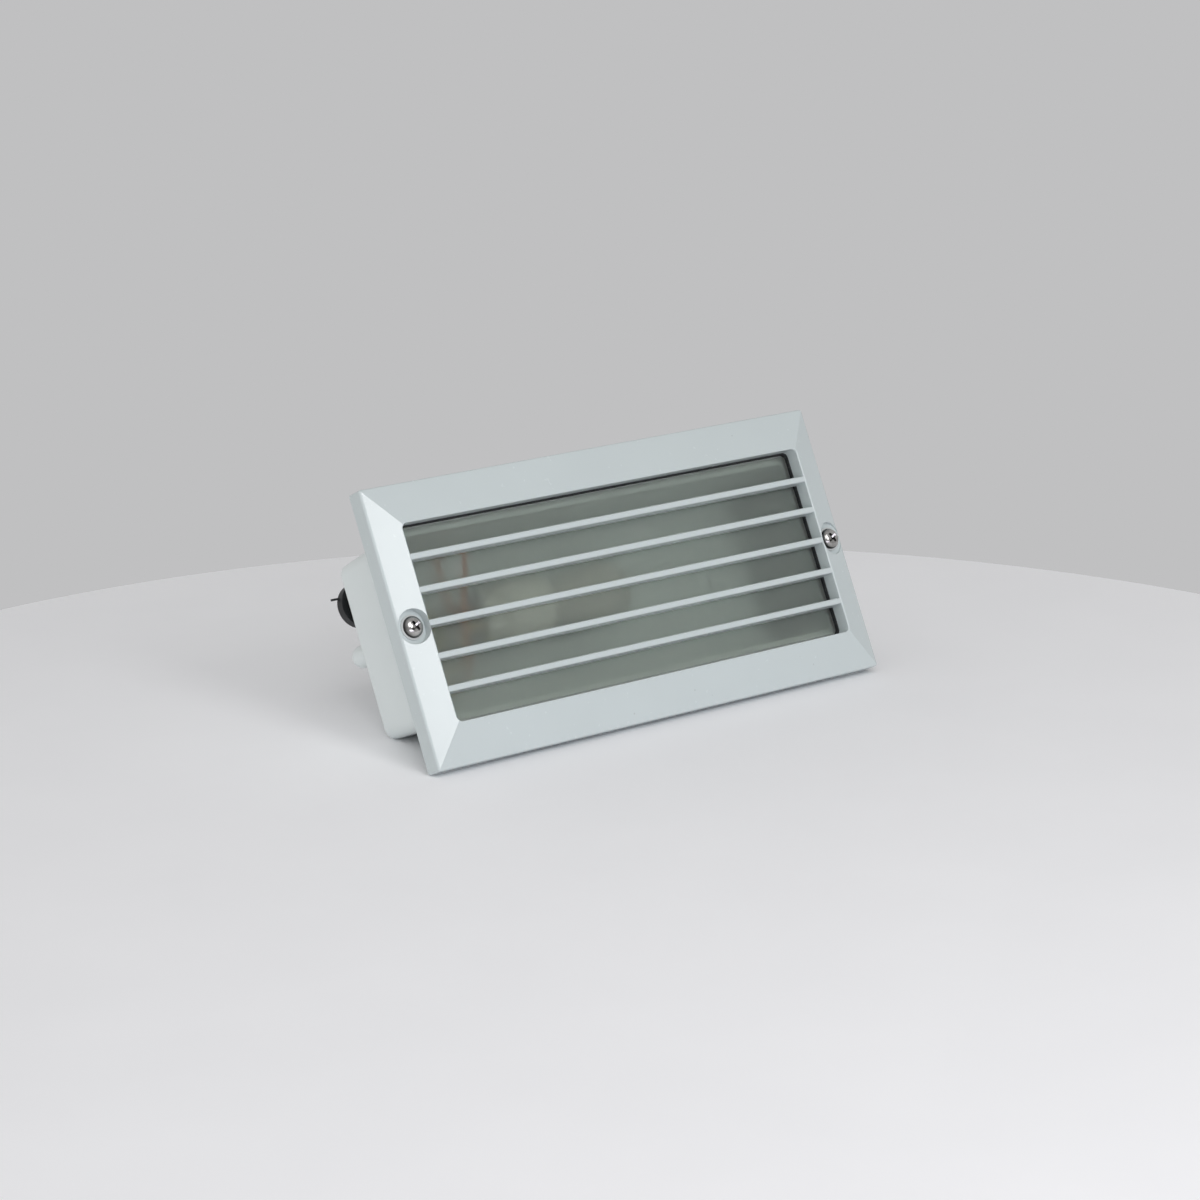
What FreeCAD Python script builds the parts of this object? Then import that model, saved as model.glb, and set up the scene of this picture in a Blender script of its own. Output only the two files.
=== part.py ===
"""Recessed wall step light, 240 x 120 mm face, built from its separate pieces.

Frame: X to the right seen from the front, Z up, Y into the wall. The origin lies in the
wall surface, at the centre of the face. Millimetres throughout.
"""
import FreeCAD
import Part
import math
import os

Vector = FreeCAD.Vector
ALONG_X = Vector(1, 0, 0)
ALONG_Y = Vector(0, 1, 0)

# ---- cover: die-cast louvred frame ------------------------------------------------------
COVER_LENGTH = 240.0          # overall, along X
COVER_HEIGHT = 120.0          # overall, along Z
RIM_DEPTH = 8.2               # straight rim standing off the wall
RIDGE_RISE = 4.2              # the mitred bevels climb this much towards the opening
BEVEL_SIDE = 13.2             # bevel width, left and right
BEVEL_TOP = 17.6              # bevel width, top and bottom
RIM_WALL = 2.6                # thickness of the rim behind the bevels
SEAT_DEPTH = 5.5              # from the wall surface forward to the glass seat
COVER_ROUND = 1.1             # rounding of the outer corners and front edge
OPENING_CORNER = 2.5          # corner radius of the light opening
RIDGE_ROUND = 0.5             # rounding of the ridge round the opening
BEVEL_OVERRUN = 2.5           # the bevels are drawn this far past the ridge, then cut
CORE_POCKET_DEPTH = 1.8       # lightening pockets behind the wide bevels
CORE_POCKET_MARGIN = 2.2      # metal left round each pocket
CORE_POCKET_ROUND = 3.0       # corner radius of the pockets

BAR_COUNT = 5                 # louvre bars
BAR_FRONT = 2.6               # bar width at the front
BAR_BACK = 3.3                # bar width at the back, after draft
BAR_SETBACK = 0.3             # bar front behind the ridge
BAR_ROOT = 0.3                # bar ends run this far into the frame
BAR_ROUND = 0.8               # rounding of the front edges of a bar

# ---- cover screws -------------------------------------------------------------------------
SCREW_RADIUS = 2.45           # M5 shank
SCREW_INSET = 6.6             # screw axis from the end of the cover
SCREW_LENGTH = 8.0            # under the head
HEAD_RADIUS = 4.75
HEAD_HEIGHT = 3.5
HEAD_SIDE = 1.2               # straight side under the dome of the head
HEAD_FLAT = 2.1               # radius of the flat on top of the dome
HEAD_SWELL = 0.5              # how far the dome's shoulder stands out
HEAD_SHOULDER = 0.7           # the shoulder lies this far under the top
CROSS_SPAN = 5.0              # cross recess, tip to tip
CROSS_WIDTH = 1.2
CROSS_DEPTH = 2.2
WASHER_RADIUS = 5.3           # nylon sealing washer
WASHER_THICKNESS = 0.8
SPOT_RADIUS = 6.3             # spot face round the screw head
SPOT_STRETCH = 1.2            # the spot face is this much longer, up and down
SPOT_FLOOR = 2.4              # metal left between spot face and glass seat
THREAD_CLEARANCE = 0.05       # radial, screw shank in its tapped boss
HOLE_CLEARANCE = 0.3          # radial, screw shank in plain holes
BOSS_WALL = 1.1               # metal round the tapped hole
BOSS_GAP = 0.3                # tapped boss to glass seat
BOSS_RIM_GAP = 0.3            # tapped boss to the cover's rim

# ---- glass and gaskets ---------------------------------------------------------------------
GLASS_LAP_SIDE = 2.2          # glass behind the frame, left and right
GLASS_LAP_TOP = 2.6           # glass behind the frame, top and bottom
GLASS_GASKET_THICKNESS = 2.0
GASKET_SHOW = 0.6             # gasket seen inside the light opening
GLASS_EDGE_THICKNESS = 2.5
GLASS_STEP = 1.0              # raised field in front of the clamped edge
GLASS_STEP_GAP = 0.2          # raised field to gasket
GLASS_ARRIS = 0.6             # ground edge of the raised field
GLASS_CORNER = 3.0
BODY_GASKET_THICKNESS = 1.5
BODY_GASKET_WIDTH = 2.4
BODY_GASKET_PROUD = 0.2       # past the glass edge

# ---- housing: die-cast box -----------------------------------------------------------------
HOUSING_DEPTH = 44.7          # wall surface to the back of the box
HOUSING_INSET_SIDE = 11.5     # mouth of the box inside the cover's ends
HOUSING_INSET_TOP = 19.0      # mouth of the box inside the cover's top and bottom
DRAFT_SIDE = 2.0              # narrowing per side over the depth, left and right
DRAFT_TOP = 2.7               # narrowing per side over the depth, top and bottom
HOUSING_WALL = 2.5
FLOOR_ROOT = 1.2              # posts, pads and pegs run this far into the floor
HOUSING_CORNER = 5.0          # corner radius of the box, seen from the front
HOUSING_BACK_ROUND = 2.4      # rounding of the back edges
FLANGE_THICKNESS = 2.0        # flange that lies on the wall
FLANGE_GAP = 0.6              # flange inside the cover's rim
STEP_GAP = 1.0                # glass edge to the step of the flange
STEP_WALL = 2.0

# ---- behind the box --------------------------------------------------------------------------
PEG_RADIUS = 5.0              # rounded pegs cast on the back
PEG_LENGTH = 14.4
PEG_INSET = 7.0               # peg axis from the end of the back
FIXING_RADIUS = 2.25          # wall fixing holes
FIXING_SPACING_X = 100.0
FIXING_SPACING_Z = 54.0
FIXING_PAD_RADIUS = 5.0
FIXING_PAD_HEIGHT = 1.0

GROMMET_RISE = 21.4           # cable entry above the middle
GROMMET_NECK_RADIUS = 4.6
GROMMET_CAP_RADIUS = 9.7
GROMMET_CAP_START = 2.6       # behind the box
GROMMET_CAP_LENGTH = 5.6
GROMMET_CAP_RIM = 4.0         # straight rim of the cap, before its dome
GROMMET_SHOULDER_INSET = 1.9  # shoulder of the dome, in from the rim
GROMMET_SHOULDER_DROP = 0.6   # and short of the dome's end
GROMMET_LIP_RADIUS = 6.1      # lip inside the box
GROMMET_LIP_THICKNESS = 1.5
GROMMET_LIP_GAP = 0.3         # lip to the end wall of the box
GROMMET_GAP = 0.05            # lip and neck to the metal
CABLE_RADIUS = 3.5            # bore for the supply cable
GROMMET_TAB_RADIUS = 0.5      # moulded tail on the cap
GROMMET_TAB_LENGTH = 4.2
GROMMET_TAB_ROOT = 2.0        # tail starts this far inside the cap
GROMMET_TAB_RISE = 4.5        # above the middle of the cap
GROMMET_TAB_WAY = Vector(-0.9, 0.3, 0.05)

# ---- lampholder and its bracket, placed from the left wall (u), the floor (d) and Z -------
HOLDER_START = 42.6           # u of the holder's closed end
HOLDER_RISE = 1.5             # holder axis above the middle
HOLDER_FLOOR_GAP = 6.5        # porcelain to the floor of the box
HOLDER_NARROW_RADIUS = 10.0
HOLDER_NARROW_LENGTH = 9.3
HOLDER_RADIUS = 14.0
HOLDER_LENGTH = 33.3
HOLDER_ROUND = 1.5
HOLDER_BORE_RADIUS = 8.4
HOLDER_BORE_DEPTH = 25.5
CONTACT_POCKET_RADIUS = 6.0
CONTACT_POCKET_DEPTH = 3.0
SHELL_WALL = 0.6              # screw shell of the holder
SHELL_LENGTH = 20.0
LAMP_CLEARANCE = 0.08         # radial, lamp cap in the shell
CONTACT_THICKNESS = 0.6
CONTACT_RADIUS = 3.0
CONTACT_LIFT = 2.2            # spring tongue standing off its root

BRACKET_THICKNESS = 1.5
BRACKET_HALF_WIDTH = 10.5
BRACKET_FRONT = 9.0           # upright in front of the holder axis
BRACKET_FOOT = 14.7
BRACKET_BEND = 2.5            # outside bend radius
BRACKET_LEAD_HOLE = 6.2
POST_HEIGHT = 4.0             # cast posts under the bracket
POST_RADIUS = 3.5
POST_OFFSET_Z = 6.5           # posts above and below the holder axis
POST_FROM_BEND = 8.2
SMALL_SCREW_RADIUS = 1.7      # M3.5
SMALL_SCREW_LENGTH = 6.0
SMALL_HEAD_RADIUS = 3.0
SMALL_HEAD_HEIGHT = 2.1
SMALL_SLOT_WIDTH = 0.8
SMALL_SLOT_DEPTH = 1.0
HOLDER_SCREW_RADIUS = 1.45    # M3
HOLDER_SCREW_LENGTH = 5.0
HOLDER_SCREW_HEAD = 2.2
HOLDER_SCREW_HEAD_HEIGHT = 1.6
HOLDER_SCREW_SPARE = 1.0      # hole deeper than the screw
HOLDER_SCREW_OFFSET = 7.6     # above and below the holder axis

# ---- lamp, E14 -----------------------------------------------------------------------------
CAP_RADIUS = 6.95
CAP_WALL = 0.5
CAP_LENGTH = 17.0
INSULATOR_LENGTH = 3.0
INSULATOR_TIP_RADIUS = 4.2
TIP_RADIUS = 2.4
TIP_LENGTH = 1.6
TIP_NOSE_RADIUS = 1.7
CAP_CLOSING = 1.5             # the cap turns in this far over the insulator
BULB_RADIUS = 14.0
BULB_WALL = 0.8
BULB_NECK_GAP = 0.1
BULB_NECK_OUT = 1.5           # straight neck beyond the cap
BULB_SHOULDER_SHARE = 0.3     # of the way to the full radius, where the shoulder turns over
BULB_SHOULDER_DIP = 0.11      # share of the swell at the middle of the lower arc
BULB_SHOULDER_SWELL = 0.8     # share of the swell at the middle of the upper arc
BULB_LENGTH = 72.0            # contact to the end of the bulb
STEM_RADIUS = 2.6
STEM_LENGTH = 17.0
STEM_TIP = 2.0
STEM_TIP_RADIUS = 1.6
STEM_FLARE_EDGE = 1.2
STEM_FLARE_LENGTH = 4.0
WIRE_RADIUS = 0.35
WIRE_SPREAD = 5.0
WIRE_ROOT_SPREAD = 1.0
WIRE_ROOT_GAP = 0.15
FILAMENT_RADIUS = 0.3
FILAMENT_FORWARD = 15.0       # support wires beyond the stem
FILAMENT_BOW = 2.5

# ---- terminal block and earth -------------------------------------------------------------
BLOCK_START = 9.5             # u
BLOCK_WIDTH = 15.0            # along X, with the leads
POLE_COUNT = 3
POLE_PITCH = 9.0
BLOCK_TOP = -3.0              # Z of the block's upper end
BLOCK_PAD = 2.0               # pad cast under the block
BLOCK_HEIGHT = 9.6            # off its pad
TURRET_RADIUS = 3.1
TURRET_HEIGHT = 3.6
TURRET_OFFSET = 4.2           # screws to both sides of the block's middle
POLE_AXIS = 5.8               # lead axis off the pad
BARREL_RADIUS = 2.3
BARREL_LENGTH = 13.6
BARREL_GAP = 0.1
CLAMP_RADIUS = 1.45           # clamping screws
CLAMP_WELL = 2.0
CLAMP_SUNK = 1.2              # screw tops below the turrets
BLOCK_SCREW_RADIUS = 1.3      # M2.6 fixing screw between two poles
BLOCK_SCREW_HEAD = 2.4
EARTH_SCREW_RADIUS = 1.95     # M4
EARTH_SCREW_LENGTH = 8.0
EARTH_HEAD_RADIUS = 3.5
EARTH_PAD_RADIUS = 4.4
EARTH_PAD_HEIGHT = 1.2
EARTH_TAG_THICKNESS = 0.8
EARTH_TAG_RADIUS = 3.8
EARTH_TAG_ANGLE = 55.0        # crimp direction, from +X towards +Z
EARTH_TAG_REACH = 7.2
CRIMP_RADIUS = 1.9
CRIMP_LENGTH = 4.6
CRIMP_GAP = 0.1               # radial, lead in its crimp
EARTH_WASHER_THICKNESS = 0.7

CRIMP_OVERLAP = 1.0           # crimp starts this far before the tongue's end

LEAD_RADIUS = 1.0
LEAD_PAST_CLAMP = 1.0         # leads end this far past the clamping screw
LEAD_GAP = 0.2                # radial, lead in its holes
LEAD_ARC_SHARE = 0.45         # share of the shorter run that an arc may use
LEAD_PAIR_OFFSET = 3.0        # lead holes above and below the holder axis
LEAD_END_DEPTH = 4.6          # leads inside the porcelain

PAST = 1.0                    # cutting solids reach this far past what they cut

# ---- worked out from the sizes above ------------------------------------------------------
HALF_LENGTH = COVER_LENGTH / 2
HALF_HEIGHT = COVER_HEIGHT / 2
FRONT_EDGE = -RIM_DEPTH
RIDGE = FRONT_EDGE - RIDGE_RISE
SEAT = -SEAT_DEPTH
OPENING_X = HALF_LENGTH - BEVEL_SIDE
OPENING_Z = HALF_HEIGHT - BEVEL_TOP
SCREW_X = HALF_LENGTH - SCREW_INSET
SPOT_FACE = SEAT - SPOT_FLOOR
UNDER_HEAD = SPOT_FACE - WASHER_THICKNESS

GLASS_X = OPENING_X + GLASS_LAP_SIDE
GLASS_Z = OPENING_Z + GLASS_LAP_TOP
GLASS_FRONT = SEAT + GLASS_GASKET_THICKNESS
GLASS_BACK = GLASS_FRONT + GLASS_EDGE_THICKNESS
STEP_FLOOR = GLASS_BACK + BODY_GASKET_THICKNESS
STEP_X = GLASS_X + STEP_GAP
STEP_Z = GLASS_Z + STEP_GAP

MOUTH_X = HALF_LENGTH - HOUSING_INSET_SIDE
MOUTH_Z = HALF_HEIGHT - HOUSING_INSET_TOP
BACK_X = MOUTH_X - DRAFT_SIDE
BACK_Z = MOUTH_Z - DRAFT_TOP
FLOOR = HOUSING_DEPTH - HOUSING_WALL
LEFT_WALL = -(BACK_X - HOUSING_WALL)
PEG_X = BACK_X - PEG_INSET
GROMMET_X = LEFT_WALL + GROMMET_LIP_GAP + GROMMET_LIP_RADIUS

HOLDER_AXIS_LIFT = HOLDER_FLOOR_GAP + HOLDER_RADIUS
CAP_TIP = HOLDER_LENGTH - HOLDER_BORE_DEPTH - CONTACT_POCKET_DEPTH + CONTACT_THICKNESS + CONTACT_LIFT
SHELL_INNER = CAP_RADIUS + LAMP_CLEARANCE
BLOCK_LENGTH = POLE_COUNT * POLE_PITCH


def inside(u, d, z):
    """Point u right of the box's left wall, d in front of its floor, at height z."""
    return Vector(LEFT_WALL + u, FLOOR - d, z)


HOLDER_END = inside(HOLDER_START, HOLDER_AXIS_LIFT, HOLDER_RISE)


# ---- solids ------------------------------------------------------------------------------------
def outline(half_x, half_z, radius, y):
    """Closed rectangle with round corners in the plane at depth y."""
    flat_x = half_x - radius
    flat_z = half_z - radius
    diagonal = radius * math.sqrt(0.5)
    edges = []
    corners = [(1, 1), (-1, 1), (-1, -1), (1, -1)]
    for number, (sx, sz) in enumerate(corners):
        side_end = Vector(sx * half_x, y, sz * flat_z)
        top_end = Vector(sx * flat_x, y, sz * half_z)
        middle = Vector(sx * (flat_x + diagonal), y, sz * (flat_z + diagonal))
        start, end = (side_end, top_end) if sx * sz > 0 else (top_end, side_end)
        edges.append(Part.Arc(start, middle, end).toShape())
        next_x, next_z = corners[(number + 1) % 4]
        if next_x * next_z > 0:
            follow = Vector(next_x * half_x, y, next_z * flat_z)
        else:
            follow = Vector(next_x * flat_x, y, next_z * half_z)
        if (follow - end).Length > 1e-6:
            edges.append(Part.LineSegment(end, follow).toShape())
    return Part.Wire(edges)


def plate(half_x, half_z, radius, y_front, y_back):
    """Flat plate with round corners between two depths."""
    face = Part.Face(outline(half_x, half_z, radius, y_front))
    return face.extrude(Vector(0, y_back - y_front, 0))


def ring(outer, inner, y_front, y_back):
    """Plate with a plate-shaped hole; outer and inner are (half_x, half_z, radius)."""
    return plate(*outer, y_front, y_back).cut(plate(*inner, y_front - PAST, y_back + PAST))


def box(low, high):
    """Box between two corners."""
    size = high - low
    return Part.makeBox(size.x, size.y, size.z, low)


def rod_y(x, z, radius, y_front, y_back):
    """Cylinder along Y."""
    return Part.makeCylinder(radius, y_back - y_front, Vector(x, y_front, z), ALONG_Y)


def rod_x(start, radius, length):
    """Cylinder along X from a start point."""
    return Part.makeCylinder(radius, length, start, ALONG_X)


def turned(edges, centre, axis):
    """Solid of revolution of a closed set of edges."""
    face = Part.Face(Part.Wire(edges))
    solid = face.revolve(centre, axis, 360)
    return Part.Solid(solid) if solid.ShapeType == "Shell" else solid


def polygon(points):
    """Straight edges through the points and back to the first."""
    return Part.makePolygon(points + [points[0]]).Edges


def turned_x(profile, start):
    """Revolve (along, radius) points about the X line through start."""
    points = [start + Vector(along, 0, radius) for along, radius in profile]
    return turned(polygon(points), start, ALONG_X)


def joined(shapes):
    """One solid from overlapping or touching solids."""
    return shapes[0].fuse(shapes[1:]).removeSplitter()


def group(shapes):
    """Separate solids kept together in one node."""
    return Part.makeCompound(shapes)


def edges_at_depth(shape, y):
    """Edges that lie wholly in the plane at depth y."""
    found = []
    for edge in shape.Edges:
        bounds = edge.BoundBox
        if abs(bounds.YMin - y) < 1e-4 and abs(bounds.YMax - y) < 1e-4:
            found.append(edge)
    return found


def pan_head(x, z, under, radius, height):
    """Domed screw head whose flat underside lies at depth under, facing the viewer."""
    top = under - height
    rim = Vector(x + radius, under - HEAD_SIDE, z)
    shoulder = Vector(x + (radius + HEAD_FLAT) / 2 + HEAD_SWELL, top + HEAD_SHOULDER, z)
    flat = Vector(x + HEAD_FLAT, top, z)
    foot = Vector(x + radius, under, z)
    middle_top = Vector(x, top, z)
    middle_foot = Vector(x, under, z)
    edges = [
        Part.LineSegment(foot, rim).toShape(),
        Part.Arc(rim, shoulder, flat).toShape(),
        Part.LineSegment(flat, middle_top).toShape(),
        Part.LineSegment(middle_top, middle_foot).toShape(),
        Part.LineSegment(middle_foot, foot).toShape(),
    ]
    return turned(edges, Vector(x, 0, z), ALONG_Y)


def slotted_screw(x, z, under, radius, length, head_radius, head_height):
    """Small slotted screw along Y, head towards the viewer."""
    head = rod_y(x, z, head_radius, under - head_height, under)
    reach = head_radius + PAST
    top = under - head_height
    slot_low = Vector(x - reach, top - PAST, z - SMALL_SLOT_WIDTH / 2)
    slot_high = Vector(x + reach, top + SMALL_SLOT_DEPTH, z + SMALL_SLOT_WIDTH / 2)
    shank = rod_y(x, z, radius, under - head_height / 2, under + length)
    return joined([head, shank]).cut(box(slot_low, slot_high))


def tube(points, radius):
    """Round lead through the points: straight runs joined by tangent arcs."""
    edges = []
    radii = []
    place = points[0]
    for before, corner, after in zip(points, points[1:], points[2:]):
        back = (before - corner).normalize()
        ahead = (after - corner).normalize()
        half_turn = (math.pi - back.getAngle(ahead)) / 2
        shorter = min((before - corner).Length, (after - corner).Length)
        reach = LEAD_ARC_SHARE * shorter
        arc_radius = reach / math.tan(half_turn)
        start = corner + back * reach
        end = corner + ahead * reach
        bisector = (back + ahead).normalize()
        centre = corner + bisector * (arc_radius / math.cos(half_turn))
        middle = centre - bisector * arc_radius
        edges.append(Part.LineSegment(place, start).toShape())
        edges.append(Part.Arc(start, middle, end).toShape())
        radii.append(arc_radius)
        place = end
    edges.append(Part.LineSegment(place, points[-1]).toShape())
    path = Part.Wire(edges)
    profile = Part.Wire(Part.makeCircle(radius, points[0], points[1] - points[0]))
    solid = path.makePipeShell([profile], True, False)
    ideal = math.pi * radius ** 2 * path.Length
    print("lead radii", [round(r, 1) for r in radii], "volume ratio", round(solid.Volume / ideal, 4))
    return solid


# ---- cover and what it carries ---------------------------------------------------------------
def cover_frame():
    """Mitred bevel frame: straight rim, sloping faces and rounded outer edges."""
    tall = RIDGE_RISE + BEVEL_OVERRUN
    crest_x = HALF_LENGTH - tall * BEVEL_SIDE / RIDGE_RISE
    crest_z = HALF_HEIGHT - tall * BEVEL_TOP / RIDGE_RISE
    bevels = Part.makeLoft([
        rectangle(HALF_LENGTH, HALF_HEIGHT, FRONT_EDGE),
        rectangle(crest_x, crest_z, FRONT_EDGE - tall),
    ], True, True)
    rim = box(Vector(-HALF_LENGTH, FRONT_EDGE, -HALF_HEIGHT), Vector(HALF_LENGTH, 0, HALF_HEIGHT))
    frame = joined([rim, bevels])
    frame = frame.makeFillet(COVER_ROUND, edges_at_depth(frame, FRONT_EDGE) + edges_into_wall(frame))
    return frame.cut(plate(OPENING_X, OPENING_Z, OPENING_CORNER, FRONT_EDGE - tall, PAST))


def rectangle(half_x, half_z, y):
    """Sharp-cornered rectangle in the plane at depth y."""
    signs = ((1, 1), (-1, 1), (-1, -1), (1, -1), (1, 1))
    return Part.makePolygon([Vector(sx * half_x, y, sz * half_z) for sx, sz in signs])


def edges_into_wall(shape):
    """Edges that run straight along Y."""
    found = []
    for edge in shape.Edges:
        bounds = edge.BoundBox
        if bounds.XLength < 1e-4 and bounds.ZLength < 1e-4:
            found.append(edge)
    return found


def ridge_edges(frame):
    """Front edge of the light opening, all the way round."""
    found = []
    for edge in frame.Edges:
        bounds = edge.BoundBox
        in_x = max(abs(bounds.XMin), abs(bounds.XMax)) < OPENING_X + 0.01
        in_z = max(abs(bounds.ZMin), abs(bounds.ZMax)) < OPENING_Z + 0.01
        if in_x and in_z and bounds.YMax < FRONT_EDGE:
            found.append(edge)
    return found


def louvre_bar(z):
    """One drafted bar with rounded front edges, spanning the opening."""
    front = RIDGE + BAR_SETBACK
    half_span = OPENING_X + BAR_ROOT
    points = [
        Vector(-half_span, front, z - BAR_FRONT / 2),
        Vector(-half_span, front, z + BAR_FRONT / 2),
        Vector(-half_span, SEAT, z + BAR_BACK / 2),
        Vector(-half_span, SEAT, z - BAR_BACK / 2),
    ]
    bar = Part.Face(Part.makePolygon(points + [points[0]])).extrude(Vector(2 * half_span, 0, 0))
    long_edges = [edge for edge in edges_at_depth(bar, front) if edge.Length > half_span]
    return bar.makeFillet(BAR_ROUND, long_edges)


def spot_face(side):
    """Recess for one screw head, longer up and down than across."""
    middle = Vector(side * SCREW_X, 0, 0)
    recess = plate(SPOT_RADIUS, SPOT_RADIUS + SPOT_STRETCH, SPOT_RADIUS, RIDGE - PAST, SPOT_FACE)
    recess.translate(middle)
    return recess


def core_pocket(side):
    """Shallow pocket behind the upper or lower bevel, inside the rim."""
    low = GLASS_Z + CORE_POCKET_MARGIN
    high = HALF_HEIGHT - RIM_WALL - CORE_POCKET_MARGIN
    half_z = (high - low) / 2
    half_x = OPENING_X - CORE_POCKET_MARGIN
    pocket = plate(half_x, half_z, CORE_POCKET_ROUND, SEAT - CORE_POCKET_DEPTH, SEAT + PAST)
    pocket.translate(Vector(0, 0, side * (low + high) / 2))
    return pocket


def make_cover():
    """Louvred frame in one casting."""
    frame = cover_frame()
    frame = frame.makeFillet(RIDGE_ROUND, ridge_edges(frame))
    hollow = plate(HALF_LENGTH - RIM_WALL, HALF_HEIGHT - RIM_WALL, COVER_ROUND, SEAT, PAST)
    frame = frame.cut(hollow)
    pitch = 2 * OPENING_Z / (BAR_COUNT + 1)
    bars = []
    for number in range(BAR_COUNT):
        bars.append(louvre_bar(-OPENING_Z + pitch * (number + 1)))
    cover = joined([frame] + bars)
    for side in (-1, 1):
        hole = rod_y(side * SCREW_X, 0, SCREW_RADIUS + HOLE_CLEARANCE, RIDGE - PAST, PAST)
        cover = cover.cut([spot_face(side), hole, core_pocket(side)])
    return cover


def make_glass_gasket():
    """Black gasket between the seat of the cover and the glass."""
    outer = (GLASS_X, GLASS_Z, GLASS_CORNER)
    inner = (OPENING_X - GASKET_SHOW, OPENING_Z - GASKET_SHOW, OPENING_CORNER)
    return ring(outer, inner, SEAT, GLASS_FRONT)


def make_glass_pane():
    """Frosted pane: clamped edge and a raised field with a ground arris."""
    edge_plate = plate(GLASS_X, GLASS_Z, GLASS_CORNER, GLASS_FRONT, GLASS_BACK)
    field_inset = GASKET_SHOW + GLASS_STEP_GAP
    field_front = GLASS_FRONT - GLASS_STEP
    field = plate(OPENING_X - field_inset, OPENING_Z - field_inset, OPENING_CORNER, field_front, GLASS_BACK)
    field = field.makeChamfer(GLASS_ARRIS, edges_at_depth(field, field_front))
    return joined([edge_plate, field])


def make_cover_screw(side):
    """Stainless pan-head screw with a cross recess."""
    x = side * SCREW_X
    head = pan_head(x, 0, UNDER_HEAD, HEAD_RADIUS, HEAD_HEIGHT)
    shank = rod_y(x, 0, SCREW_RADIUS, UNDER_HEAD - PAST, UNDER_HEAD + SCREW_LENGTH)
    screw = joined([head, shank])
    top = UNDER_HEAD - HEAD_HEIGHT
    for half_x, half_z in ((CROSS_SPAN / 2, CROSS_WIDTH / 2), (CROSS_WIDTH / 2, CROSS_SPAN / 2)):
        low = Vector(x - half_x, top - PAST, -half_z)
        high = Vector(x + half_x, top + CROSS_DEPTH, half_z)
        screw = screw.cut(box(low, high))
    return screw


def make_screw_washer(side):
    """Sealing washer under a cover screw's head."""
    x = side * SCREW_X
    disc = rod_y(x, 0, WASHER_RADIUS, UNDER_HEAD, SPOT_FACE)
    return disc.cut(rod_y(x, 0, SCREW_RADIUS + HOLE_CLEARANCE, UNDER_HEAD - PAST, SPOT_FACE + PAST))


# ---- housing --------------------------------------------------------------------------------------
def drafted_box(inset, y_front, y_back):
    """Box shrinking towards the back, set in from the outer walls."""
    depth = HOUSING_DEPTH
    wires = []
    for y in (y_front, y_back):
        share = y / depth
        half_x = MOUTH_X - DRAFT_SIDE * share - inset
        half_z = MOUTH_Z - DRAFT_TOP * share - inset
        wires.append(outline(half_x, half_z, HOUSING_CORNER - inset, y))
    return Part.makeLoft(wires, True, True)


def flange():
    """Stepped flange: the outer part lies on the wall, the step takes the glass."""
    outer = (HALF_LENGTH - RIM_WALL - FLANGE_GAP, HALF_HEIGHT - RIM_WALL - FLANGE_GAP, COVER_ROUND)
    step_hole = (STEP_X, STEP_Z, GLASS_CORNER)
    step_outer = (STEP_X + STEP_WALL, STEP_Z + STEP_WALL, GLASS_CORNER + STEP_WALL)
    mouth = (MOUTH_X - HOUSING_WALL, MOUTH_Z - HOUSING_WALL, HOUSING_CORNER - HOUSING_WALL)
    on_wall = ring(outer, step_hole, -FLANGE_THICKNESS, 0)
    step_side = ring(step_outer, step_hole, -FLANGE_THICKNESS, STEP_FLOOR)
    step_back = ring(step_outer, mouth, STEP_FLOOR, STEP_FLOOR + STEP_WALL)
    return [on_wall, step_side, step_back]


def make_housing():
    """Die-cast box with flange, tapped bosses, posts, pads, pegs and holes."""
    shell = drafted_box(0, STEP_FLOOR, HOUSING_DEPTH)
    shell = shell.makeFillet(HOUSING_BACK_ROUND, edges_at_depth(shell, HOUSING_DEPTH))
    added = flange()
    room = plate(HALF_LENGTH - RIM_WALL - BOSS_RIM_GAP, HALF_HEIGHT, COVER_ROUND, SEAT - PAST, PAST)
    tapped = []
    for side in (-1, 1):
        boss = rod_y(side * SCREW_X, 0, SCREW_RADIUS + BOSS_WALL, SEAT + BOSS_GAP, 0)
        added.append(boss.common(room))
        tapped.append(rod_y(side * SCREW_X, 0, SCREW_RADIUS + THREAD_CLEARANCE, SEAT - PAST, PAST))
        added.append(peg(side))
    solid = joined([shell] + added)
    solid = solid.cut(drafted_box(HOUSING_WALL, STEP_FLOOR - PAST, FLOOR))
    solid = solid.cut(plate(STEP_X, STEP_Z, GLASS_CORNER, SEAT - PAST, STEP_FLOOR))
    raised = floor_features()
    solid = joined([solid] + raised)
    return solid.cut(tapped + floor_holes())


def peg(side):
    """Round-ended peg on the back of the box."""
    x = side * PEG_X
    end = HOUSING_DEPTH + PEG_LENGTH - PEG_RADIUS
    straight = rod_y(x, 0, PEG_RADIUS, FLOOR + FLOOR_ROOT, end)
    return joined([straight, Part.makeSphere(PEG_RADIUS, Vector(x, end, 0))])


def fixing_points():
    """Centres of the four wall fixing holes."""
    return [(sx * FIXING_SPACING_X / 2, sz * FIXING_SPACING_Z / 2) for sx in (-1, 1) for sz in (-1, 1)]


def post_points():
    """Centres of the two posts under the bracket's foot."""
    x = HOLDER_END.x - BRACKET_THICKNESS - POST_FROM_BEND
    return [(x, HOLDER_RISE + side * POST_OFFSET_Z) for side in (-1, 1)]


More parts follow.
